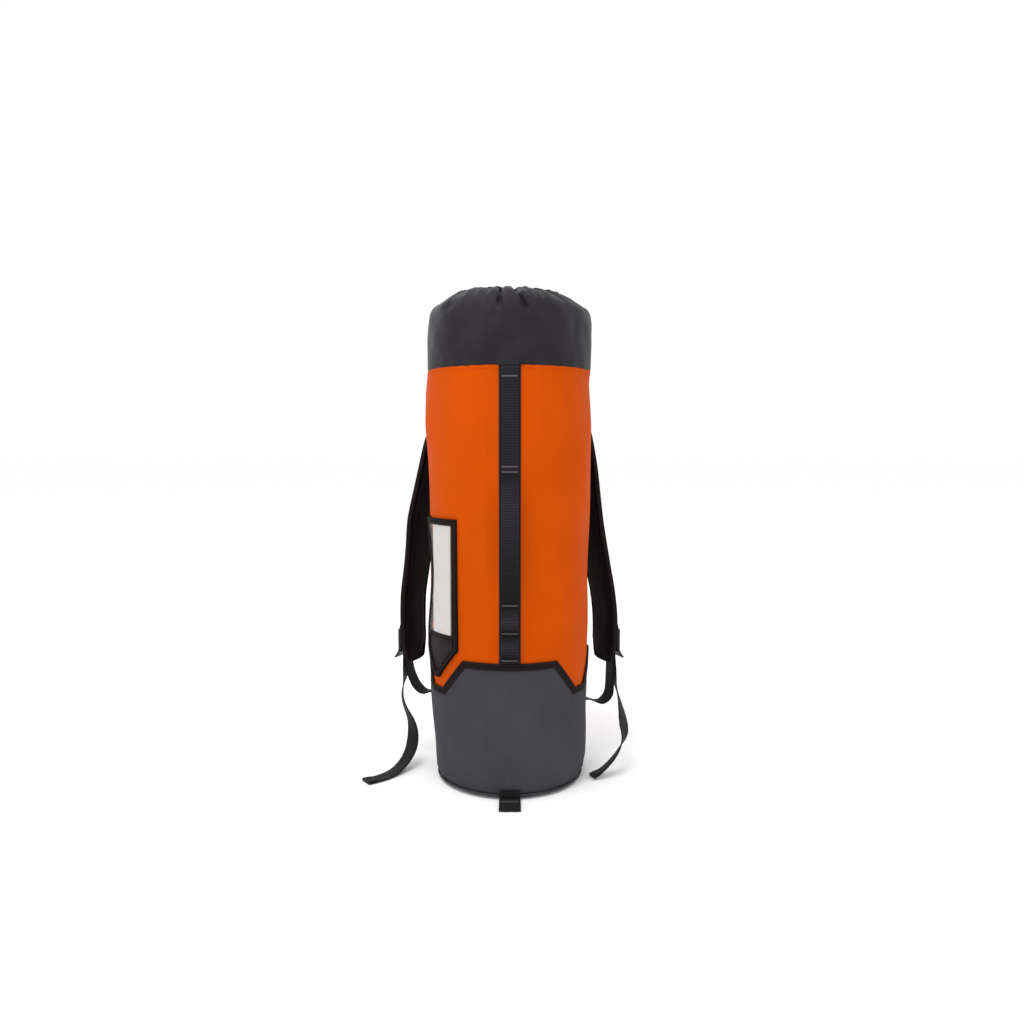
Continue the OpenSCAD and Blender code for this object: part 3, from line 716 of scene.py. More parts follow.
# the height stops below paint shade and highlight on the ladder webbing: darker beside the tacks, paler where the
# handle and loops bow out
M_LADDER = webbing("ladder_ribbed_webbing", lin(34, 32, 36), rib=0.003, light=2.2, depth=0.0012,
                   painted_fold_shade=[(.160, .5), (.171, .45), (.177, .9), (.183, 1.5), (.188, 1.1), (.195, .4), (.201, .45),
                          (.207, 1.1), (.213, 1.6), (.219, 1.1), (.228, .4), (.235, .45), (.26, .5), (.29, .75), (.315, 1.1),
                          (.345, 1.4), (.366, 1.1), (.378, .6), (.388, 1.0), (.420, 1.0)])
M_WEB_BACK = webbing("webbing_backing", lin(22, 18, 20), rib=0.0014, depth=0.0002)
M_PAD = spacer("pad_spacer_mesh", lin(18, 17, 20))
M_FOAM = plain("foam", (0.05, 0.05, 0.055), 0.9, 0.3, 0.0004, 700)
M_CORD = braid("cord_braid", lin(34, 32, 35))
M_PLASTIC = plain("black_plastic", lin(22, 22, 24), 0.42, 0.3, 0.00006, 1600, wear=0.12)
M_STEEL = plain("spring_steel", (0.62, 0.62, 0.64), 0.3, 0.5, 0.00003, 2500, metal=1.0)
M_THREAD = plain("black_thread", lin(52, 49, 51), 0.6, 0.2, 0.0001, 3000, coords="rp")
M_TACK = plain("tack_thread", lin(96, 92, 96), 0.55, 0.2, 0.0001, 3000, coords="rp")
M_OTHREAD = plain("orange_thread", lin(190, 66, 0), 0.6, 0.1, 0.0001, 3000, coords="rp")
M_FILM = film("clear_film")
M_CARD = card_stock("card_stock", lin(188, 185, 182))

# ------------------------------------------------------------------ straps: routes as in the part (mm)

PAD_AZ = [150, 147, 142, 136.5, 131, 127, 123, 120.5, 118.5, 117, 116, 115, 114.5, 114, 114]
PAD_Z = [489, 476, 462, 447, 430, 409, 378, 347, 315, 284, 253, 221, 190, 158, 134]
PAD_RL = [106.2, 109, 110.9, 112, 114, 118, 122, 128, 134, 135, 137.5, 141, 141.5, 140, 137.5]
PAD_RR = [106.2, 109, 110.9, 111.6, 112.4, 113.4, 115, 116.8, 119.4, 124, 129.5, 135, 138, 137.5, 135]
PAD_WF = [0.74, 0.82, 0.88, 0.95, 1, 1, 1, 1, 1, 1, 1, 1, 1, 1, 0.72]
PAD_TF = [0.5, 0.84, 1, 1, 1, 1, 1, 1, 1, 1, 1, 1, 1, 1, 0.6]
PAD_W, PAD_T, WEB_W, WEB_T = 54.0, 12.0, 20.0, 1.6
LOCK_AZ, BAR_Z = 114.0, 170.0
LOW = {-1: [[-87.7, 50.7, 72], [-88.2, 51, 80.5], [-91.3, 52.3, 86.5], [-97, 54, 89.4], [-104.7, 56, 88.7],
            [-110.8, 56.5, 87.5], [-117.7, 57, 89.5], [-124.6, 57.6, 96.4], [-129, 58.4, 104.6], [-132.6, 59.4, 114],
            [-135, 60.3, 126], [-135.9, 60.5, 138.2]],
       1: [[87.7, 50.7, 62], [88.2, 51, 70], [91, 52.2, 76], [96, 54, 79.2], [103.5, 56, 78.3], [112.1, 56.8, 75],
           [120.2, 57.3, 74.1], [126.9, 57.7, 77.9], [131.6, 58.2, 85], [132.8, 58.6, 94], [133.1, 58.9, 104],
           [133.2, 59.2, 120], [133.2, 59.3, 138.2]]}
END = {-1: [[-137.9, 61.4, 138.2], [-138.2, 61.1, 129], [-139, 59.4, 118], [-140.6, 55.5, 104.3],
            [-142.7, 52.5, 92.9], [-142.6, 48.5, 81.9], [-138.9, 44.5, 70.2], [-131.6, 38.4, 56], [-127.9, 32, 43.8],
            [-127, 25, 32.8], [-128.8, 16, 21.6], [-134.5, 6.4, 11.4], [-142.1, -5, 4.9], [-150, -17, 2.2],
            [-159, -28, 1.7], [-168, -36, 1.8], [-177.5, -43, 2.5]],
       1: [[135.3, 60.3, 138.2], [136, 60.2, 129], [137.8, 58.4, 116.4], [140.4, 50, 98], [143.5, 34, 82.6],
           [144.9, 22, 72.2], [145.4, 10, 62.6], [144.8, -2, 53.5], [142.7, -10, 44.4], [137.6, -15, 33.7],
           [129.3, -18.5, 22.3], [118.9, -21.5, 12], [110.5, -23.8, 6.3], [102.4, -26.4, 2.8]]}
WAY = {-1: [66, 67, 72, 86, 97, 104, 112, 122, 132, 138, 138, 132, 124, 120, 120, 124, 128],
       1: [114, 113, 108, 92, 82, 72, 64, 62, 70, 80, 84, 85, 86, 86]}
SIDE = {-1: "left", 1: "right"}


def tail_web(s):
    """Loose end of the adjusting webbing, its end folded over and sewn."""
    P = cat_smooth(END[s], 2)
    A = between(WAY[s], 2) * D2R
    W = np.stack([np.cos(A), np.sin(A), 0 * A], -1)
    T = np.full(len(P), WEB_T)
    T[-2:] = 4.4
    Q = cat_smooth(P, 4)
    Wq, Tq = between(W, 4), between(T, 4)
    Tq = np.where(np.arange(len(Tq)) >= len(Tq) - 9, 3.9, WEB_T)
    Tq = np.convolve(np.pad(Tq, 2, mode="edge"), np.ones(5) / 5, "valid")
    Q, Wq, Tq = resample(Q, 2.0, (Wq, Tq))
    t = tangents(Q)
    u = square_to(Wq, t)
    n = np.cross(t, u)
    st = along(Q)
    rows = []
    for i in range(len(Q)):
        sec = section_flat(WEB_W, Tq[i])
        rows.append(Q[i] + u[i] * sec[:, :1] + n[i] * sec[:, 1:])
    sec = section_flat(WEB_W, WEB_T)
    ob = sweep(f"{SIDE[s]}_tail_webbing", np.array(rows), M_WEB, s=st, t=along(np.concatenate([sec, sec[:1]])), angle=50)
    rows = []
    for d in (6.0, 13.0):
        i = int(np.argmin(abs(st - (st[-1] - d))))
        f = np.linspace(-8, 8, 17)
        for sg in (1, -1):
            c = Q[i] + np.outer(f, u[i]) + n[i] * sg * (Tq[i] / 2)
            rows.append((c, np.repeat(t[i][None], 17, 0), np.repeat(n[i][None] * sg, 17, 0), 1.6, 0.28, 0.1))
    seam = stitches(f"{SIDE[s]}_tail_seam", rows, M_THREAD)
    return ob, Q, seam


tails = {}
for s in (-1, 1):
    ob, Q, seam = tail_web(s)
    tails[s] = (ob, Q, seam)
    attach(ob, SIDE[s] + "_strap")
    seam.parent = ob
    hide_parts(f"{SIDE[s]}_strap_tail")

LOCK_Y, LOCK_Z = -46.0, 584.0
TAIL_L = np.array([[-2.3, LOCK_Y + 8.3, LOCK_Z], [-2.4, -35, 583.2], [-3.2, -32.8, 579], [-4.6, -32.2, 571],
                   [-6.4, -32.4, 556], [-7.8, -32.8, 536], [-8.2, -33.2, 514], [-7.4, -33.4, 492], [-5.6, -33.4, 470],
                   [-3.6, -33.2, 452], [-2.3, -33, 440]])
TAIL_R = np.array([[-p[0], p[1] - (0.8 if p[2] < 574 else 0), p[2]] for p in TAIL_L])


def knot():
    """The two loose ends tied together in an overhand knot."""
    a = np.linspace(0, 2 * math.pi, 61)[:-1]
    x = np.sin(a) + 2 * np.sin(2 * a)
    y = np.cos(a) - 2 * np.cos(2 * a)
    z = -np.sin(3 * a)
    P = np.stack([x * 1.85, z * 1.9, y * 1.75], -1) + np.array([0, -33.4, 432.4])
    ob, _ = tube("cord_knot", P, 1.9, M_CORD, closed=True, step_mm=0.9, refine=2)
    return ob


knot_ob = knot()
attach(knot_ob, "bag")
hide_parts("cord_end_knot")
for nm, P in (("left", TAIL_L), ("right", TAIL_R)):
    ob, Q = tube(f"{nm}_cord_end", cat_smooth(P, 2), 2.0, M_CORD)
    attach(ob, "bag")
    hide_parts(f"cord_tail_{nm}")

# ------------------------------------------------------------------ tube, base

AZ = np.arange(0, 360, 1.25)


def ring_sweep(name, prof, material, az=AZ, tt=None, angle=38):
    """prof(az array) gives (az, section, 2) of distance from the axis and height."""
    RZ = prof(az)
    V = pol(az[:, None], RZ[..., 0], RZ[..., 1])
    s = np.concatenate([az, [az[0] + 360]]) * D2R * 99.5
    if tt is None:
        row = RZ[0]
        tt = along(np.concatenate([row, row[:1]]))
    return sweep(name, V, material, closed=True, s=s, t=tt, angle=angle)


def body_profile(az):
    z_out = np.concatenate([[8.4, 11.0], np.arange(14, 500, 5.0), [500, 503, SEAM_Z]])
    rows = []
    for a in az:
        r_out = np.where(z_out < 14, np.interp(z_out, [8.4, 11, 14], [93.6, 95.0, 96.1]) + adj(a, z_out), rad(a, z_out))
        rows.append(np.concatenate([np.stack([r_out, z_out], -1),
                                    np.stack([r_out - WALL, z_out], -1)[::-1]]))
    return np.array(rows)


body = ring_sweep("body_fabric", body_profile, M_ORANGE)
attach(body, "bag")
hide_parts("body_tube")


def zig_z(az):
    """Height of the zigzag edge at an angle from the front."""
    az = wrap_az(az)
    out = np.full(az.shape, ZIG_TOP)
    for c in (-120, -60, 60, 120):
        w = np.where(abs(wrap_az(az - c)) < 80, abs(99 * np.sin(wrap_az(az - c) * D2R)), 999)
        out = np.minimum(out, np.clip(ZIG_LOW + (w - 12.2) / 0.87, ZIG_LOW, ZIG_TOP))
    return out


def deg(w):
    return math.asin(w / 99) / D2R


corner = sorted({round(float(wrap_az(c + sg * deg(w))), 4) for c in (-120, -60, 60, 120) for sg in (-1, 1)
                 for w in (12.2, 45.26)})
AZW = np.array(sorted({round(float(x), 3) for x in list(wrap_az(AZ)) + corner}))


def wrap_profile(az):
    top = zig_z(az)
    rows = []
    for a, zt in zip(az, top):
        f = np.linspace(0, 1, 27)
        z = 14 + (zt - 14) * f
        h = np.full(27, 1.35)
        h = h + 0.55 * np.exp(-((z - 14.5) / 1.2) ** 2) - 0.35 * np.exp(-((z - 17.5) / 1.6) ** 2)
        h[-1] = 1.0
        out_r = rad(a, z) + h
        lo = np.array([[95.0, 6.7], [95.9, 8.2], [96.7, 10.4], [97.2, 12.4]])
        lo[:, 0] += adj(a, lo[:, 1])
        inner = np.stack([rad(a, z) + 0.15, z], -1)[::-1]
        tail = np.array([[95.9, 12.0], [94.2, 7.0]])
        tail[:, 0] += adj(a, tail[:, 1])
        rows.append(np.concatenate([lo, np.stack([out_r, z], -1), inner, tail]))
    return np.array(rows)


wrap = ring_sweep("base_wrap_fabric", wrap_profile, M_GREY, az=AZW)
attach(wrap, "bag")
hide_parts("base_wrap")

zig_pts = []
for c in (-120, -60, 60, 120):
    for w, z in ((-45.26, ZIG_TOP), (-12.2, ZIG_LOW), (12.2, ZIG_LOW), (45.26, ZIG_TOP)):
        az = c + math.copysign(deg(abs(w)), w)
        zig_pts.append([az * D2R * 99.5, z])


def zig_place(x, z, h):
    return on(np.asarray(x) / 99.5 / D2R, z, h)


# the zigzag's upper flats are walked in short steps, and its turns are mitred
loop = []
for i, p in enumerate(zig_pts):
    loop.append(p)
# close the loop round the back: the last corner meets the first one a turn later
full = 360 * D2R * 99.5


def zig_tape(name, d_lo, d_hi, h0, h1, material):
    pts = [list(p) for p in zig_pts]
    ext = [[pts[-1][0] - full, pts[-1][1]]] + pts + [[pts[0][0] + full, pts[0][1]]]
    a = (d_hi - d_lo) / 2
    mid = (d_hi + d_lo) / 2
    off = mid + np.array([-a, -a + 0.25, -a + 0.8, -a * 0.5, 0, a * 0.5, a - 0.8, a - 0.25, a])
    top = np.array([0.35, 0.8, 1.0, 0.9, 0.86, 0.9, 1.0, 0.8, 0.35])
    rows = tape_rows(ext, False, off, 3.0)
    # keep one whole turn, from the first corner to the same corner a turn later
    first = tape_rows(ext, False, np.array([0.0]), 3.0)[:, 0]
    i0 = int(np.argmin(np.abs(first[:, 0] - pts[0][0]) + np.abs(first[:, 1] - pts[0][1])))
    i1 = int(np.argmin(np.abs(first[:, 0] - pts[0][0] - full) + np.abs(first[:, 1] - pts[0][1])))
    rows = rows[i0:i1]
    up = zig_place(rows[..., 0], rows[..., 1], h0 + (h1 - h0) * top[None, :])
    down = zig_place(rows[..., 0], rows[..., 1], h0)[:, ::-1]
    V = np.concatenate([up, down], 1)
    return sweep(name, V, material, closed=True, t=np.concatenate([off + a, off[::-1] + a, [0]]), angle=45), first[i0:i1]


trim, trim_mid = zig_tape("zigzag_binding", -4.3, 4.3, 1.45, 2.5, M_BIND)
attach(trim, "bag")
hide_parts("zigzag_trim")


def radial(P):
    return np.stack([P[:, 0], P[:, 1], 0 * P[:, 0]], -1)


rows = []
ext = [[zig_pts[-1][0] - full, zig_pts[-1][1]]] + zig_pts + [[zig_pts[0][0] + full, zig_pts[0][1]]]
for d in (-3.1, 3.1):
    line = tape_rows(ext, False, np.array([d]), 2.0)[:, 0]
    line = line[(line[:, 0] >= zig_pts[0][0] - 1) & (line[:, 0] < zig_pts[0][0] + full - 1)]
    P = zig_place(line[:, 0], line[:, 1], 2.35)
    rows += stitch_row(P, radial(P), closed=True)
zs = stitches("zigzag_stitching", rows, M_THREAD)
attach(zs, "bag")


def disc_profile(az):
    r = np.array([2, 20, 40, 60, 75, 84, 86.5, 89, 91.4, 93.2, 94.6])
    z = np.array([1.0, 0.9, 0.8, 0.6, 0.35, 0.15, 0.1, 0.5, 1.8, 3.3, 5.2])
    rows = []
    for a in az:
        k = step(r, 50, 92)
        wob = 0.25 * math.sin(3 * a * D2R) * np.sin(r / 17) * (1 - step(r, 70, 86))
        rr = r + adj(a, 5.0) * k
        low = np.stack([rr, z + np.abs(wob)], -1)
        up = np.stack([np.maximum(rr - 0.9 * step(r, 80, 94), 0.6), z + np.abs(wob) + 1.4], -1)[::-1]
        rows.append(np.concatenate([low, up]))
    return np.array(rows)


disc = ring_sweep("base_disc_fabric", disc_profile, M_GREY, az=np.arange(0, 360, 2.5))
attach(disc, "bag")
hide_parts("base_disc")

az = np.arange(0, 360, 1.5)
pip_path = pol(az, 96.4 + adj(az, 5.0) - 0.25 * (abs(wrap_az(az)) < 8), 4.9 + 0.15 * np.sin(az * D2R * 7))
pip, _ = tube("base_piping_cord", np.concatenate([pip_path, pip_path[:1]]), 1.3, M_GREY, closed=True, sides=12,
              step_mm=2.2, refine=1)
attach(pip, "bag")
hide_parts("base_piping")

a_ = np.arange(0, 360, 2.0)
P1 = on(a_, 17.2 + 0 * a_, 1.05)
P2 = pol(a_, 82 + 0 * a_, 0.05 + 0 * a_)
rows = stitch_row(P1, radial(P1), closed=True)
rows += stitch_row(P2, np.repeat([[0, 0, -1.0]], len(P2), 0), closed=True, lift=0.0)
bs = stitches("base_stitching", rows, M_THREAD)
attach(bs, "bag")

# ------------------------------------------------------------------ mouth

SK = np.array([[100.28, 505.2], [100.7, 512], [100.88, 520], [100.88, 530], [100.75, 543], [100.28, 556],
               [99.7, 564], [98.68, 571], [97.3, 576.4], [95.4, 581], [92.8, 584.8], [89.5, 588], [85.7, 590.7],
               [81.5, 592.8], [77.3, 594.5], [73, 595.8], [68.8, 596.9], [65.5, 597.6]])
_f = cat_smooth(SK, 3)
SK_F, = resample(_f, 1.9)
SK_T = tangents(SK_F)
SK_N = np.stack([SK_T[:, 1], -SK_T[:, 0]], -1)  # outward


def skirt_disp(az, i):
    """Outward displacement of the skirt at profile point i."""
    r, z = SK_F[i]
    a = wrap_az(az)
    x = r * np.sin(a * D2R)
    front = (abs(a) < 60)
    g = step(SK_ARC[i], 0.42, 0.95)
    ph = 2.2 * np.sin(3 * a * D2R + 0.5) + 1.3 * np.sin(5 * a * D2R + 2.0)
    pleat = np.sin(24 * a * D2R + ph) + 0.5 * np.sin(41 * a * D2R - 1.7 * ph) + 0.28 * np.sin(67 * a * D2R + ph)
    pleat = np.where(pleat > 0, pleat, 1.25 * pleat)
    damp = 1 - 0.75 * front * np.exp(-(x / 15) ** 2)
    d = -0.4 * g + 1.15 * g ** 1.6 * pleat * damp
    d = d + (0.75 * np.sin(5 * a * D2R + 0.03 * z + 1) + 0.5 * np.sin(8 * a * D2R - 0.06 * z + 4)
             + 0.35 * np.sin(13 * a * D2R + 0.11 * z)) * step(z, 506, 540) * (1 - 0.6 * g)
    # soft puckers above the seam
    d = d + 0.35 * np.exp(-(z - 505) / 9) * np.sin(31 * a * D2R + ph) * step(z, 505, 508)
    d = d + 2.5 * front * np.exp(-(np.clip(abs(x) - 10.5, 0, None) / 4.0) ** 2) * np.exp(-((z - 505) / 13) ** 2)
    # the gathered front: a flat pleat between two folds
    zz = z
    left = np.exp(-((x + 11.5 + 0.05 * (590 - zz)) / 2.5) ** 2) * step(zz, 566, 582)
    xr = 8.5 + (591 - zz) * 0.46
    right = np.exp(-((x - xr) / 2.7) ** 2) * step(zz, 562, 574)
    d = d - front * (5.2 * left + 5.4 * right)
    plate = np.exp(-(np.clip(abs(x + 1 - 0.12 * (590 - zz)) - 8.0, 0, None) / 2.4) ** 2) * step(zz, 560, 572)
    d = d + front * 1.5 * plate * (1 - step(SK_ARC[i], 0.93, 1.0))
    # the fold under the right slit cups outwards
    d = d + front * 1.6 * np.exp(-((x - xr - 6.5) / 4.5) ** 2) * step(zz, 556, 570) * (1 - step(zz, 588, 594))
    # dents that the photograph shows
    for ax, zc, wx, wz, dep in ((-72, 574, 5, 5, 2.2), (-40, 563, 6, 12, 1.8), (-18, 560, 4, 7, 2.0), (36, 566, 7, 6, 1.8),
                                (74, 548, 5, 16, 1.8), (-55, 540, 10, 9, 1.2), (10, 535, 12, 9, 1.0)):
        xx = 99 * np.sin((a) * D2R)
        d = d - front * dep * np.exp(-((xx - ax) / wx) ** 2 - ((zz - zc) / wz) ** 2)
    # the shoulders fall away at the sides
    sd = np.sin(a * D2R)
    d = d - (5.6 * np.clip(-sd, 0, 1) ** 2.5 + 5.2 * np.clip(sd, 0, 1) ** 2.5) * np.exp(-((zz - 590) / 9) ** 2)
    return d


SK_ARC = along(SK_F) / along(SK_F)[-1]
AZF = np.array(sorted(set(np.round(np.concatenate([np.arange(-180, 180, 1.5), np.arange(-24, 24, 0.4)]), 2))))


def skirt_profile(az):
    rows = []
    n = len(SK_F)
    a = wrap_az(az)
    side = np.sin(a * D2R)
    lift = 1.9 * np.exp(-((a + 42) / 34) ** 2) - 1.6 * np.exp(-((a - 42) / 34) ** 2)
    out = np.zeros((len(az), 2 * n, 2))
    for i in range(n):
        r, z = SK_F[i]
        d = skirt_disp(az, i)
        k = 1 - step(SK_ARC[i], 0.45, 0.85)
        rr = r + (smooth_interp(z, LEFT) * np.clip(-side, 0, 1) ** 2
                  + smooth_interp(z, RIGHT) * np.clip(side, 0, 1) ** 2) * k
        up = lift * step(SK_ARC[i], 0.5, 0.8) * (1 - 0.7 * step(SK_ARC[i], 0.9, 1.0))
        # the gap in the hem at the front
        pr = rr + SK_N[i, 0] * d
        pz = z + SK_N[i, 1] * d + up
        gap = step(SK_ARC[i], 0.90, 1.0) * np.exp(-(np.clip(abs(a) - 5.5, 0, None) / 2.2) ** 2)
        pr = pr + gap * 3.0
        pz = pz - gap * 1.6
        out[:, i, 0], out[:, i, 1] = pr, pz
        th = 1.1
        out[:, 2 * n - 1 - i, 0] = pr - SK_N[i, 0] * th
        out[:, 2 * n - 1 - i, 1] = pz - SK_N[i, 1] * th
    return out


def open_outer(az):
    return skirt_profile(az)


skirt = ring_sweep("skirt_fabric", skirt_profile, M_SKIRT, az=AZF, angle=60)
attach(skirt, "bag")
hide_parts("top_skirt")

# hem around the mouth: a gathered channel, open at the front where the cord comes out
ha = np.concatenate([np.arange(7.6, 30, 0.8), np.arange(30, 330, 1.3), np.arange(330, 352.5, 0.8)])
sides = 22
th_ = np.arange(sides) * 2 * math.pi / sides
V = []
a_w = wrap_az(ha)
for a, aw in zip(ha, a_w):
    ph = 2.2 * math.sin(3 * aw * D2R + 0.5) + 1.3 * math.sin(5 * aw * D2R + 2.0)
    pl = math.sin(24 * aw * D2R + ph) + 0.5 * math.sin(41 * aw * D2R - 1.7 * ph) + 0.28 * math.sin(67 * aw * D2R + ph)
    lift = (1.9 * math.exp(-((aw + 42) / 34) ** 2) - 1.6 * math.exp(-((aw - 42) / 34) ** 2)) * 0.3
    end = max(0.0, 1 - (min(a - 7.6, 352.4 - a)) / 5.0)
    r_o = 4.35 + 0.42 * pl * (0.5 + 0.5 * np.sin(th_ + 0.3)) + 0.12 * np.sin(3 * th_ + aw) - 0.5 * end
    V.append(pol(a, 61 + 0.25 * pl + r_o * np.cos(th_), 594.3 + lift + r_o * np.sin(th_)))
V = np.array(V)
# inner wall of the channel, so that the hem's ends are open
Vin = []
for a, aw, row in zip(ha, a_w, V):
    c = row.mean(0)
    Vin.append(c + (row - c) * 0.72)
Vin = np.array(Vin)


def channel(name, Vo, Vi, material):
    n, m = Vo.shape[:2]
    F, st = [], []
    s = along(Vo.mean(1)) * 0.001
    t = np.arange(m + 1) * 0.0013
    q = lambda i, j: [(s[i], t[j]), (s[i + 1], t[j]), (s[i + 1], t[j + 1]), (s[i], t[j + 1])]
    for i in range(n - 1):
        for j in range(m):
            k = (j + 1) % m
            F.append((i * m + j, (i + 1) * m + j, (i + 1) * m + k, i * m + k))
            st += q(i, j)
            o = n * m
            F.append((o + i * m + k, o + (i + 1) * m + k, o + (i + 1) * m + j, o + i * m + j))
            st += q(i, j)[::-1]
    for i, flip in ((0, False), (n - 1, True)):
        for j in range(m):
            k = (j + 1) % m
            f = (i * m + j, i * m + k, n * m + i * m + k, n * m + i * m + j)
            F.append(f[::-1] if flip else f)
            st += [(s[i], t[j])] * 4
    ob = make_mesh(name, np.concatenate([Vo.reshape(-1, 3), Vi.reshape(-1, 3)]), F, st, material, 60)
    fix_normals(ob)
    return ob


hem = channel("hem_channel", V, Vin, M_SKIRT)
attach(hem, "bag")

cord_end = [[-12.4, -59.7, 594.5], [-8, -60.3, 594.8], [-5.2, -60.2, 593.6], [-3.6, -59.6, 590.6], [-2.7, -58.7, 587.2],
            [-2.4, -57, 584.8], [-2.3, LOCK_Y - 8.6, LOCK_Z + 0.05], [-2.3, LOCK_Y, LOCK_Z], [-2.3, LOCK_Y + 8.2, LOCK_Z]]
ring = [[-61 * math.sin(a * D2R), -61 * math.cos(a * D2R), 594.5] for a in range(20, 341, 8)]
P = np.array(cord_end[::-1] + ring + [[-p[0], p[1], p[2]] for p in cord_end])
dc, _ = tube("drawcord_braid", P, 2.0, M_CORD, step_mm=1.5, refine=3)
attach(dc, "bag")
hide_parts("drawcord")

# stitching: under the hem, and above and below the top seam
rows = []
a_ = AZF[(abs(AZF) > 9)]
i = int(np.argmin(abs(SK_ARC - 0.955)))
prof = skirt_profile(AZF)
P = pol(AZF, prof[:, i, 0], prof[:, i, 1])
N = pol(AZF, 0 * AZF + SK_N[i, 0], 0 * AZF + SK_N[i, 1])
m = abs(AZF) > 10
order = np.argsort(np.where(AZF[m] < 0, AZF[m] + 360, AZF[m]))
rows += stitch_row(P[m][order], N[m][order], lift=0.05)
i = int(np.argmin(abs(SK_F[:, 1] - 509.5)))
P = pol(AZF, prof[:, i, 0], prof[:, i, 1])
rows += stitch_row(P, radial(P), closed=True, lift=0.05)
ss = stitches("skirt_stitching", rows, M_THREAD)
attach(ss, "bag")
a_ = np.arange(0, 360, 1.25)
a_ = a_[(abs(wrap_az(a_)) > 8)]
P = on(a_, 0 * a_ + 501.2, 0.05)
os_ = stitches("seam_stitching", stitch_row(P, radial(P), closed=False, lift=0.05), M_OTHREAD)
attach(os_, "bag")

# binding over the raw edges inside the top seam
def bind_profile(az):
    rows = []
    for a in az:
        z = np.array([497.5, 499, 503, 507, 511, 512.5])
        r = rad(a, np.minimum(z, 505)) - WALL - 0.5
        b = np.array([0.2, 0.0, 0.0, 0.0, 0.0, 0.2])
        rows.append(np.concatenate([np.stack([r - b, z], -1), np.stack([r - 1.1 + b, z], -1)[::-1]]))
    return np.array(rows)


bd = ring_sweep("top_seam_binding", bind_profile, M_BIND)
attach(bd, "bag")
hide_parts("seam_binding")

# back seam of the tube: two rows of stitching
rows = []
for da in (-1.9, 1.9):
    z = np.arange(166, 456, 3.0)
    P = on(180 + da + 0 * z, z, 0.05)
    rows += stitch_row(P, radial(P))
sb = stitches("back_seam_stitching", rows, M_OTHREAD)
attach(sb, "bag")

# ------------------------------------------------------------------ front straps

zz = np.linspace(163, 505.6, 172)
P = np.stack([0 * zz, -(rad(0 * zz, np.minimum(zz, 505)) + 0.15 + 0.7 - 0.5 * step(zz, 500, 505)), zz], -1)
bk, _ = ribbon("backing_webbing", P, np.repeat([[1.0, 0, 0]], len(P), 0), 25.0, 1.4, M_WEB_BACK, step_mm=2.0,
               refine=1)
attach(bk, "bag")
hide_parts("front_backing_strap")

BACK_OUT, LAD_T = 1.55, 1.8


def lay(z, out=0.0):
    return [float(rad(0, z)) + BACK_OUT + 0.1 + LAD_T / 2 + out, z]


def bow(z0, z1, out):
    e = 1.0 if abs(z1 - z0) > 60 else 0.62
    return [lay(z0 + (z1 - z0) * k / 8, out * math.sin(math.pi * k / 8) ** e) for k in range(1, 8)]


lad = np.array([[lay(505)[0] - 1.9, 505.8], [lay(505)[0] - 1.2, 503.9], [lay(502)[0] - 0.3, 501.5], lay(498), lay(475), lay(435), lay(400), lay(380)] + bow(380, 232, 15) + [lay(232), lay(228)]
               + bow(228, 200, 7.4) + [lay(200), lay(196)] + bow(196, 170, 7.4) + [lay(170), lay(163)])
P = np.stack([0 * lad[:, 0], -lad[:, 0], lad[:, 1]], -1)
lw, lwQ = ribbon("ladder_webbing", P, np.repeat([[1.0, 0, 0]], len(P), 0), 20.0, LAD_T, M_LADDER, step_mm=0.5, refine=1,
                 rib=0.2, rib_pitch=3.0)
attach(lw, "bag")
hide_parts("front_ladder_strap")


def tack(z, w=17.0, rows_dz=(0.0,), out=0.0, n=22, h=None):
    got = []
    for dz in rows_dz:
        r = lay(z + dz)[0] + LAD_T / 2 + 0.12
        x = np.linspace(-w / 2, w / 2, n)
        c = np.stack([x, 0 * x - r, 0 * x + z + dz], -1)
        t = unit(np.array([[0.35 if k % 2 else -0.35, 0, 1.0] for k in range(n)]))
        got.append((c, t, np.repeat([[0, -1.0, 0]], n, 0), 2.6, 0.34, 0.12))
        c2 = c[::2] + np.array([0, -0.15, 0])
        got.append((c2, np.repeat([[1.0, 0, 0]], len(c2), 0), np.repeat([[0, -1.0, 0]], len(c2), 0), 1.6, 0.3, 0.1))
    return got


rows = []
for z in (492, 390, 384, 230.5, 198, 166.5):
    rows += tack(z)
tk = stitches("bar_tack_thread", rows, M_TACK)
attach(tk, "bag")
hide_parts("bar_tacks")
rows = []
for x in (-11.4, 11.4):
    z = np.arange(166, 498, 2.0)
    P = np.stack([0 * z + x, -(rad(0 * z, z) + 1.5), z], -1)
    rows += stitch_row(P, np.repeat([[0, -1.0, 0]], len(z), 0), lift=0.1, r=0.25)
bst = stitches("backing_stitching", rows, M_THREAD)
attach(bst, "bag")

# ------------------------------------------------------------------ ID pocket

PKT = 61.0


def pocket_place(d, z, h):
    """d is the distance towards the back from the pocket's middle, on a plane that touches the tube there."""
    d = np.asarray(d, float)
    az_ = -(PKT + np.degrees(np.arcsin(np.clip(d / 100.0, -0.99, 0.99))))
    az_, z, h = np.broadcast_arrays(az_, np.asarray(z, float), np.asarray(h, float))
    base = np.maximum(rad(az_, z), 0)
    return pol(az_, base + h, z)


def film_place(d, z, h):
    d = np.asarray(d, float)
    az_ = -(PKT + np.degrees(np.arcsin(np.clip(d / 100.0, -0.99, 0.99))))
    az_, z, h = np.broadcast_arrays(az_, np.asarray(z, float), np.asarray(h, float))
    return pol(az_, 0 * z + h, z)


outer = [(-35.7, 324.7), (-35.7, 173.3), (-2.6, 138.4), (2.6, 138.4), (35.7, 173.3), (35.7, 324.7)]


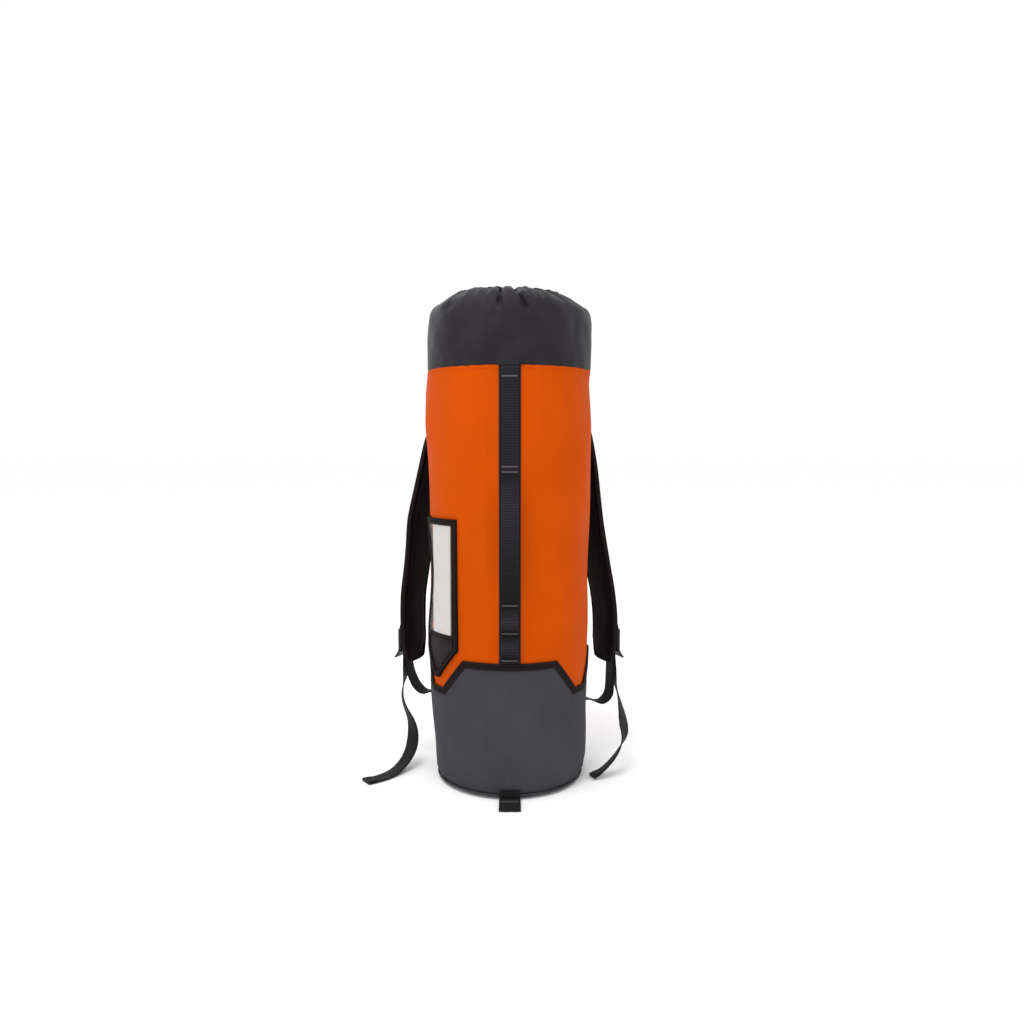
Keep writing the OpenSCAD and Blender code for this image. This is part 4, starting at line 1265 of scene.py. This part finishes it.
def tape_abs(name, pts, closed, width, r_top, material, step_mm=3.0):
    """Binding tape from the fabric out to the distance r_top from the axis, soft-edged."""
    a = width / 2
    off = np.array([-a, -a + 0.25, -a + 0.8, -a * 0.55, 0, a * 0.55, a - 0.8, a - 0.25, a])
    top = np.array([0.3, 0.8, 1.0, 0.93, 0.9, 0.93, 1.0, 0.8, 0.3])
    rows = tape_rows(pts, closed, off, step_mm)
    d, z = rows[..., 0], rows[..., 1]
    az_ = -(PKT + np.degrees(np.arcsin(np.clip(d / 100.0, -0.99, 0.99))))
    base = rad(az_, z) + 0.2
    high = np.maximum(base + 1.1, r_top)
    up = pol(az_, base + (high - base) * top[None, :], z)
    down = pol(az_, base, z)[:, ::-1]
    return sweep(name, np.concatenate([up, down], 1), material, closed=closed,
                 t=np.concatenate([off + a, off[::-1] + a, [0]]), angle=45)


def tape_abs_stitch(pts, closed, d_off, r_top):
    line = tape_rows(pts, closed, np.array([d_off]), 2.0)[:, 0]
    az_ = -(PKT + np.degrees(np.arcsin(np.clip(line[:, 0] / 100.0, -0.99, 0.99))))
    P = pol(az_, np.maximum(rad(az_, line[:, 1]) + 1.3, r_top) - 0.05, line[:, 1])
    return stitch_row(P, radial(P), closed=closed)


left_leg = [(27.8, 328), (20.5, 308), (11.8, 285), (8.8, 262), (9.8, 245), (16.8, 218), (27.8, 190), (29.8, 167.5),
            (2.6, 138.4), (-2.6, 138.4), (-35.7, 173.3), (-35.7, 328)]
pf = tape_abs("pocket_binding", left_leg, False, 6.6, 103.4, M_BIND)
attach(pf, "bag")
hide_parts("id_pocket_frame")
# the top edge is bound over the film alone, so that the card slides behind it
top_edge = panel("pocket_top_binding", np.linspace(320.0, 328.0, 5), lambda z: -34.5, lambda z: 26.0, 102.35, 103.45,
                 M_BIND, film_place, cols=30)
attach(top_edge, "bag")


def half(z):
    return float(np.interp(z, [139.5, 173.3], [2.2, 35.2]))


def back_edge(z):
    return float(np.interp(z, [139.5, 167.5, 189.5], [2.2, 29.2, 27.4]))


lower = panel("pocket_lower_panel", np.linspace(139.5, 189.5, 26), lambda z: -half(z), back_edge, 0.3, 1.6, M_PANEL,
              lambda d, z, h: pocket_place(d, z, h), cols=28, edge=0.8)
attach(lower, "bag")
bar = panel("pocket_window_sill", np.linspace(184.0, 190.0, 5), lambda z: -33.5, lambda z: 26.5, 102.4, 103.3,
            M_BIND, film_place, cols=30)
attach(bar, "bag")
rows = tape_abs_stitch(left_leg, False, -2.2, 103.4) + tape_abs_stitch(left_leg, False, 2.2, 103.4)
for z0, r_ in ((321.6, 103.45), (188.4, 103.3)):
    d = np.linspace(-32, 23, 36)
    P = film_place(d, z0 + 0 * d, r_ + 0 * d)
    rows += stitch_row(P, radial(P))
ps = stitches("pocket_stitching", rows, M_THREAD)
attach(ps, "bag")

OPEN_Z = [190, 218, 245, 262, 285, 308, 320]
OPEN_D = [24.5, 13.5, 6.5, 5.5, 8.5, 17, 22.5]
win = panel("clear_window", np.linspace(189.0, 321.5, 50), lambda z: -33.6,
            lambda z: float(np.interp(z, OPEN_Z, OPEN_D)) + 0.8, 102.3, 102.75, M_FILM,
            lambda d, z, h: film_place(d, z, np.asarray(h) + 0.14 * np.sin(np.asarray(z) / 13 + np.asarray(d) / 9)),
            cols=30, edge=0.4)
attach(win, "bag")
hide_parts("id_window")

cardp = panel("id_card_sheet", np.linspace(186.2, 319.8, 60), lambda z: -29.9, lambda z: 8.5, 101.6, 101.93, M_CARD,
              film_place, cols=30, edge=0.2)
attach(cardp, "card")
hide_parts("id_card")

# ------------------------------------------------------------------ base tab

P = [[0, -98.75, 12.6], [0, -99.1, 9.5], [0, -99.6, 6.6], [0, -99.6, 3.8], [0, -98.9, 1.9]]
tp, _ = ribbon("tab_anchor_webbing", P, np.repeat([[1.0, 0, 0]], len(P), 0), 24.6, 1.5, M_WEB_BACK, step_mm=1.0)
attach(tp, "bag")
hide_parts("base_tab_patch")
fold = [[0, -130.2 - 0.95 * math.sin(a * D2R), 1.9 + 0.95 * math.cos(a * D2R)] for a in range(0, 181, 20)]
P = [[0, -101.2, 2.75], [0, -108, 2.9], [0, -118, 2.85]] + fold + [[0, -118, 0.92], [0, -108, 0.92], [0, -101.2, 0.95]]
tb, _ = ribbon("base_tab_webbing", P, np.repeat([[1.0, 0, 0]], len(P), 0), 25.0, 1.7, M_WEB, step_mm=0.8, refine=1)
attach(tb, "tab")
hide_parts("base_tab")
x = np.linspace(-10, 10, 24)
rows = []
for y in (-109.0, -111.5):
    c = np.stack([x, 0 * x + y, 0 * x + 3.72], -1)
    rows.append((c, np.repeat([[0, 1.0, 0]], 24, 0), np.repeat([[0, 0, 1.0]], 24, 0), 2.2, 0.3, 0.05))
tt_ = stitches("tab_bar_tack", rows, M_TACK)
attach(tt_, "tab")

# ------------------------------------------------------------------ shoulder straps


def out_dir(P):
    P = np.asarray(P, float)
    return unit(np.stack([P[..., 0], P[..., 1], 0 * P[..., 0]], -1))


def pad_mid(s):
    R_ = PAD_RL if s < 0 else PAD_RR
    return cat_smooth([[s * R_[i] * math.sin(PAD_AZ[i] * D2R), -R_[i] * math.cos(PAD_AZ[i] * D2R), PAD_Z[i]]
                       for i in range(len(PAD_Z))], 2)


WF, TF = between(PAD_WF, 2), between(PAD_TF, 2)


def pad_frames(s, k=4):
    P = pad_mid(s)
    Q = cat_smooth(P, k)
    wf, tf = between(WF, k), between(TF, k)
    t = tangents(Q)
    n = square_to(out_dir(Q), t)
    u = np.cross(n, t)
    return Q, t, n, u, wf, tf


def pad_shell(s, shrink, name, k=4, plump=1.0):
    Q, t, n, u, wf, tf = pad_frames(s, k)
    m = 28
    ang = np.arange(m) * 2 * math.pi / m
    rows = []
    for i in range(len(Q)):
        a, b = PAD_W / 2 * wf[i] - shrink, PAD_T / 2 * tf[i] - shrink
        e = 0.42
        cx = np.sign(np.cos(ang)) * abs(np.cos(ang)) ** e
        cy = np.sign(np.sin(ang)) * abs(np.sin(ang)) ** 0.78
        crown = 1.0 - 0.22 * abs(cx) ** 4
        rows.append(Q[i] + u[i] * (cx * a)[:, None] + n[i] * (cy * b * crown * plump)[:, None])
    return sweep(name, np.array(rows), M_PAD, angle=0)


def inflate(ob, voxel=0.004, frames=14, pressure=3.0, cap=0.0022):
    """Cloth pressure pass, then the result is applied."""
    bpy.context.view_layer.objects.active = ob
    for o in bpy.context.selected_objects:
        o.select_set(False)
    ob.select_set(True)
    rm = ob.modifiers.new("remesh", "REMESH")
    rm.mode = "VOXEL"
    rm.voxel_size = voxel
    bpy.ops.object.modifier_apply(modifier="remesh")
    start = np.zeros(len(ob.data.vertices) * 3)
    ob.data.vertices.foreach_get("co", start)
    cl = ob.modifiers.new("cloth", "CLOTH")
    c = cl.settings
    c.quality = 6
    c.mass = 0.25
    c.use_pressure = True
    c.uniform_pressure_force = pressure
    c.tension_stiffness = c.compression_stiffness = 12
    c.shear_stiffness = 6
    c.bending_stiffness = 0.6
    c.effector_weights.gravity = 0
    cl.collision_settings.use_collision = False
    sc = bpy.context.scene
    for f in range(1, frames + 1):
        sc.frame_set(f)
    dg = bpy.context.evaluated_depsgraph_get()
    e = ob.evaluated_get(dg).to_mesh()
    end = np.zeros(len(e.vertices) * 3)
    e.vertices.foreach_get("co", end)
    ob.evaluated_get(dg).to_mesh_clear()
    ob.modifiers.remove(cl)
    sc.frame_set(1)
    if len(end) == len(start) and np.isfinite(end).all():
        d = (end - start).reshape(-1, 3)
        ln = np.maximum(np.linalg.norm(d, axis=1, keepdims=True), 1e-9)
        d = d / ln * np.minimum(ln, cap)
        ob.data.vertices.foreach_set("co", (start.reshape(-1, 3) + d).ravel())
        ob.data.update()
    sub = ob.modifiers.new("sub", "SUBSURF")
    sub.levels = sub.render_levels = 1
    bpy.ops.object.modifier_apply(modifier="sub")


def lock_pt(s, n, z):
    r = (153.5 if s < 0 else 150.5) + n
    return [s * r * math.sin(LOCK_AZ * D2R), -r * math.cos(LOCK_AZ * D2R), BAR_Z + z]


def lock_u(s):
    return [s * math.cos(LOCK_AZ * D2R), math.sin(LOCK_AZ * D2R), 0]


TOP_LOOP = [[-4.9, 14], [-3.9, 7], [-2.7, 2], [-2.5, -1], [-1.6, -2.1], [0, -2.65], [1.6, -2.1], [2.5, -1], [2.6, 2],
            [1, 8], [-1.6, 14.5], [-3, 22]]
WRAP = [[-4.8, -33.0], [-4.8, -25], [-3.7, -19], [-2.9, -14], [-2.3, -11.8], [-1, -10.7], [0.6, -10.6], [2.1, -11.6],
        [2.85, -13.6], [2.3, -16.6], [0.2, -19.4], [-2, -22.4], [-2.7, -25.6], [-2.7, -33.0]]


def bevelled(node, name, material, width=0.6, body=None):
    """A carried-over hard part with its moulded edges rounded."""
    src = NODE[node]
    ob = bpy.data.objects.new(name, src.data.copy())
    bpy.context.scene.collection.objects.link(ob)
    ob.data.materials.clear()
    ob.data.materials.append(material)
    w = ob.modifiers.new("weld", "WELD")
    w.merge_threshold = 0.00002
    b = ob.modifiers.new("bevel", "BEVEL")
    b.width = width * 0.001
    b.segments = 3
    b.limit_method = "ANGLE"
    b.angle_limit = 50 * D2R
    b.use_clamp_overlap = True
    dg = bpy.context.evaluated_depsgraph_get()
    me = bpy.data.meshes.new_from_object(ob.evaluated_get(dg))
    ob.modifiers.clear()
    ob.data = me
    finish_mesh(me, 40)
    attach(ob, body)
    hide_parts(node)
    return ob


for s in (-1, 1):
    side = SIDE[s]
    strap, lock = side + "_strap", side + "_lock"
    # pad
    pad = pad_shell(s, 0.9, f"{side}_pad", k=3)
    inflate(pad)
    finish_mesh(pad.data, 0)
    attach(pad, strap)
    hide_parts(f"{side}_pad_cover", f"{side}_pad_foam")
    # binding round the pad's edge, over the flat edge of the cover
    Q, t, n, u, wf, tf = pad_frames(s, 4)
    Qe = np.concatenate([Q[:1] - t[:1] * 0.8, Q, Q[-1:] + t[-1:] * 0.6, Q[-1:] + t[-1:] * 2.0])
    ue = np.concatenate([u[:1], u, u[-1:], u[-1:]])
    wl = np.concatenate([[PAD_W * wf[0] - 2.0], PAD_W * wf - 1.0, [PAD_W * wf[-1] - 1.6, PAD_W * wf[-1] - 5.0]])
    tl = 1.8 * np.clip(np.concatenate([tf[:1], tf, tf[-1:], tf[-1:]]), 0.5, 1)
    fl_, _ = ribbon(f"{side}_pad_edge_cloth", Qe, ue, wl, tl, M_PAD, step_mm=3.0, refine=1)
    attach(fl_, strap)
    a = PAD_W / 2 * wf + 0.1
    up_side = Q + u * a[:, None]
    dn_side = (Q - u * a[:, None])[::-1]
    f = np.linspace(-0.86, 0.86, 9)
    end_bot = Q[-1] + np.outer(f[::-1], u[-1]) * a[-1] + t[-1] * (2.2 * (1 - f[::-1] ** 4))[:, None]
    end_top = Q[0] + np.outer(f, u[0]) * a[0] - t[0] * (1.0 * (1 - f ** 4))[:, None]
    path = np.concatenate([up_side, end_bot, dn_side, end_top])
    nrm = np.concatenate([n, np.repeat(n[-1][None], 9, 0), n[::-1], np.repeat(n[0][None], 9, 0)])
    tfl = np.concatenate([tf, np.full(9, tf[-1]), tf[::-1], np.full(9, tf[0])])
    PP = np.concatenate([path, path[:1]])
    q, nq, tq = resample(PP, 2.6, (np.concatenate([nrm, nrm[:1]]), np.concatenate([tfl, tfl[:1]])))
    q, nq, tq = q[:-1], unit(nq[:-1]), tq[:-1]
    tg = tangents(q, True)
    nn = square_to(nq, tg)
    uu = np.cross(tg, nn)
    ang = np.arange(12) * 2 * math.pi / 12
    ru, rn = 1.5, 3.4
    V = q[:, None] + uu[:, None] * (ru * np.cos(ang))[None, :, None] \
        + nn[:, None] * (np.sign(np.sin(ang)) * abs(np.sin(ang)) ** 0.8)[None, :, None] * (rn * np.clip(tq, .55, 1))[:, None, None]
    ed = sweep(f"{side}_pad_binding", V, M_BIND, closed=True, angle=0)
    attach(ed, strap)
    # webbing sewn down the pad and looped through the lock's top bar
    Pm = pad_mid(s)
    tm = tangents(Pm)
    nm = square_to(out_dir(Pm), tm)
    idx = list(range(3, 24))
    face = [Pm[i] + nm[i] * (PAD_T / 2 * TF[i] + 0.15 + WEB_T / 2 + 0.25) for i in idx]
    W = [np.cross(nm[i], tm[i]) * s for i in idx]
    P = np.array(face + [lock_pt(s, *p) for p in TOP_LOOP])
    W = np.array(W + [lock_u(s)] * len(TOP_LOOP))
    pw_, _ = ribbon(f"{side}_pad_strip", P, W, WEB_W, WEB_T, M_WEB, step_mm=1.6, refine=3)
    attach(pw_, strap)
    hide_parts(f"{side}_pad_webbing")
    rows = []
    for i in (4, 6, 12, 18, 22):
        x = np.linspace(-8.2, 8.2, 19)
        w_ = square_to(np.array(W[min(i - 3, 20)]), tm[i])
        for sg in ((0,) if i not in (4, 22) else (-2.5, 2.5)):
            c = Pm[i] + nm[i] * (PAD_T / 2 * TF[i] + 0.15 + WEB_T + 0.33) + np.outer(x, w_) + tm[i] * sg
            rows.append((c, np.repeat(tm[i][None], 19, 0), np.repeat(nm[i][None], 19, 0), 2.2, 0.3, 0.1))
    pst = stitches(f"{side}_pad_tacks", rows, M_THREAD)
    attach(pst, strap)
    # webbing over the lock's middle bar
    P = np.array([lock_pt(s, *p) for p in WRAP])
    wr, _ = ribbon(f"{side}_wrap_webbing", P, np.array([lock_u(s)] * len(WRAP)), WEB_W + 0.2, WEB_T + 0.1, M_WEB,
                   step_mm=1.0, refine=3)
    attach(wr, lock)
    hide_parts(f"{side}_lock_wrap")
    bevelled(f"{side}_ladder_lock", f"{side}_lock_frame", M_PLASTIC, 0.5, lock)
    # webbing from the anchor up to the lock
    P = cat_smooth(LOW[s], 2)
    k = np.clip((P[:, 2] - 84) / 40, 0, 1)[:, None]
    Wl = unit(np.array([s * math.cos(120 * D2R), math.sin(120 * D2R), 0]) * (1 - k) + np.array(lock_u(s)) * k)
    lo, loQ = ribbon(f"{side}_adjusting_webbing", P, Wl, WEB_W, WEB_T, M_WEB, step_mm=1.6, refine=3)
    lo.data.attributes.get("rp")
    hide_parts(f"{side}_lower_strap")
    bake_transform(lo)
    # patch where the lower webbing is sewn to the body
    z0, z1 = (62, 98) if s < 0 else (50, 86)

    def anchor_place(d, z, h, s=s):
        d = np.asarray(d, float)
        az_ = s * (120 + np.degrees(np.arcsin(np.clip(d / 100.0, -0.99, 0.99))))
        az_, z, h = np.broadcast_arrays(az_, np.asarray(z, float), np.asarray(h, float))
        return on(az_, z, h)

    hw = lambda z: float(np.interp(z, [40, 110], [17, 12]))
    an = panel(f"{side}_anchor_fabric", np.linspace(z0, z1, 19), lambda z: -hw(z), hw, 1.5, 2.6, M_BIND, anchor_place,
               cols=18)
    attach(an, "bag")
    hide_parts(f"{side}_anchor_patch")
    rows = []
    for zz_ in (z0 + 2, z1 - 2):
        d = np.linspace(-12.5, 12.5, 12)
        P = anchor_place(d, zz_ + 0 * d, 2.5 + 0 * d)
        rows += stitch_row(P, radial(P))
    for dd in (-13, 13):
        zq = np.linspace(z0 + 2, z1 - 2, 14)
        P = anchor_place(dd + 0 * zq, zq, 2.5 + 0 * zq)
        rows += stitch_row(P, radial(P))
    asx = stitches(f"{side}_anchor_stitching", rows, M_THREAD)
    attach(asx, "bag")

# yoke patch at the back under the top seam
zq = np.linspace(458, 498, 21)
f = np.linspace(120.2, 239.8, 80)


def yoke_place(d, z, h):
    return on(180 + np.asarray(d, float), z, h)


yk = panel("yoke_fabric", zq, lambda z: -59.6, lambda z: 59.6, 0.2, 1.45, M_PANEL, yoke_place, cols=90, edge=0.9)
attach(yk, "bag")
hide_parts("yoke_patch")
rows = []
for z_ in (460.4, 462.6, 495.6):
    d = np.linspace(-58, 58, 90)
    P = yoke_place(d, z_ + 0 * d, 1.4 + 0 * d)
    rows += stitch_row(P, radial(P))
for d_ in (-58, 58):
    z_ = np.linspace(461, 495, 16)
    P = yoke_place(d_ + 0 * z_, z_, 1.4 + 0 * z_)
    rows += stitch_row(P, radial(P))
ys = stitches("yoke_stitching", rows, M_THREAD)
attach(ys, "bag")

# ------------------------------------------------------------------ cord lock

bevelled("cord_lock_body", "lock_barrel", M_PLASTIC, 0.5, "bag")
bevelled("cord_lock_button", "lock_button", M_PLASTIC, 0.5, "button")
NODE["cord_lock_spring"].data.materials.clear()
NODE["cord_lock_spring"].data.materials.append(M_STEEL)

# ------------------------------------------------------------------ floor and light

fl = bpy.data.meshes.new("floor")
fl.from_pydata([(-80, -80, 0), (80, -80, 0), (80, 80, 0), (-80, 80, 0)], [], [(0, 1, 2, 3)])
floor = bpy.data.objects.new("floor", fl)
bpy.context.scene.collection.objects.link(floor)
T = Tree("floor_paint")
T.b.inputs["Base Color"].default_value = (0.99, 0.99, 0.99, 1)
T.b.inputs["Roughness"].default_value = 0.9
T.b.inputs["Specular IOR Level"].default_value = 0.1
fl.materials.append(T.m)
floor.location = (0, 0, 0)

world = bpy.data.worlds.new("world")
bpy.context.scene.world = world
world.use_nodes = True
bg = world.node_tree.nodes["Background"]
bg.inputs[0].default_value = (1, 1, 1, 1)
bg.inputs[1].default_value = 1.0


def area(name, loc, target, size, power):
    d = bpy.data.lights.new(name, "AREA")
    d.shape = "RECTANGLE"
    d.size, d.size_y = size
    d.energy = power
    o = bpy.data.objects.new(name, d)
    bpy.context.scene.collection.objects.link(o)
    o.location = loc
    o.rotation_euler = (Vector(target) - Vector(loc)).to_track_quat("-Z", "Y").to_euler()
    return o


area("key", (-1.1, -1.7, 1.5), (0, 0, 0.3), (1.2, 1.0), 4.5)
area("top", (-0.35, -0.75, 2.0), (0, 0, 0.35), (0.9, 0.9), 15)
area("fill", (1.9, -0.9, 1.0), (0, 0, 0.3), (1.0, 1.6), 1)
area("back", (-1.2, 1.9, 1.6), (0, 0, 0.3), (1.4, 1.2), 4)
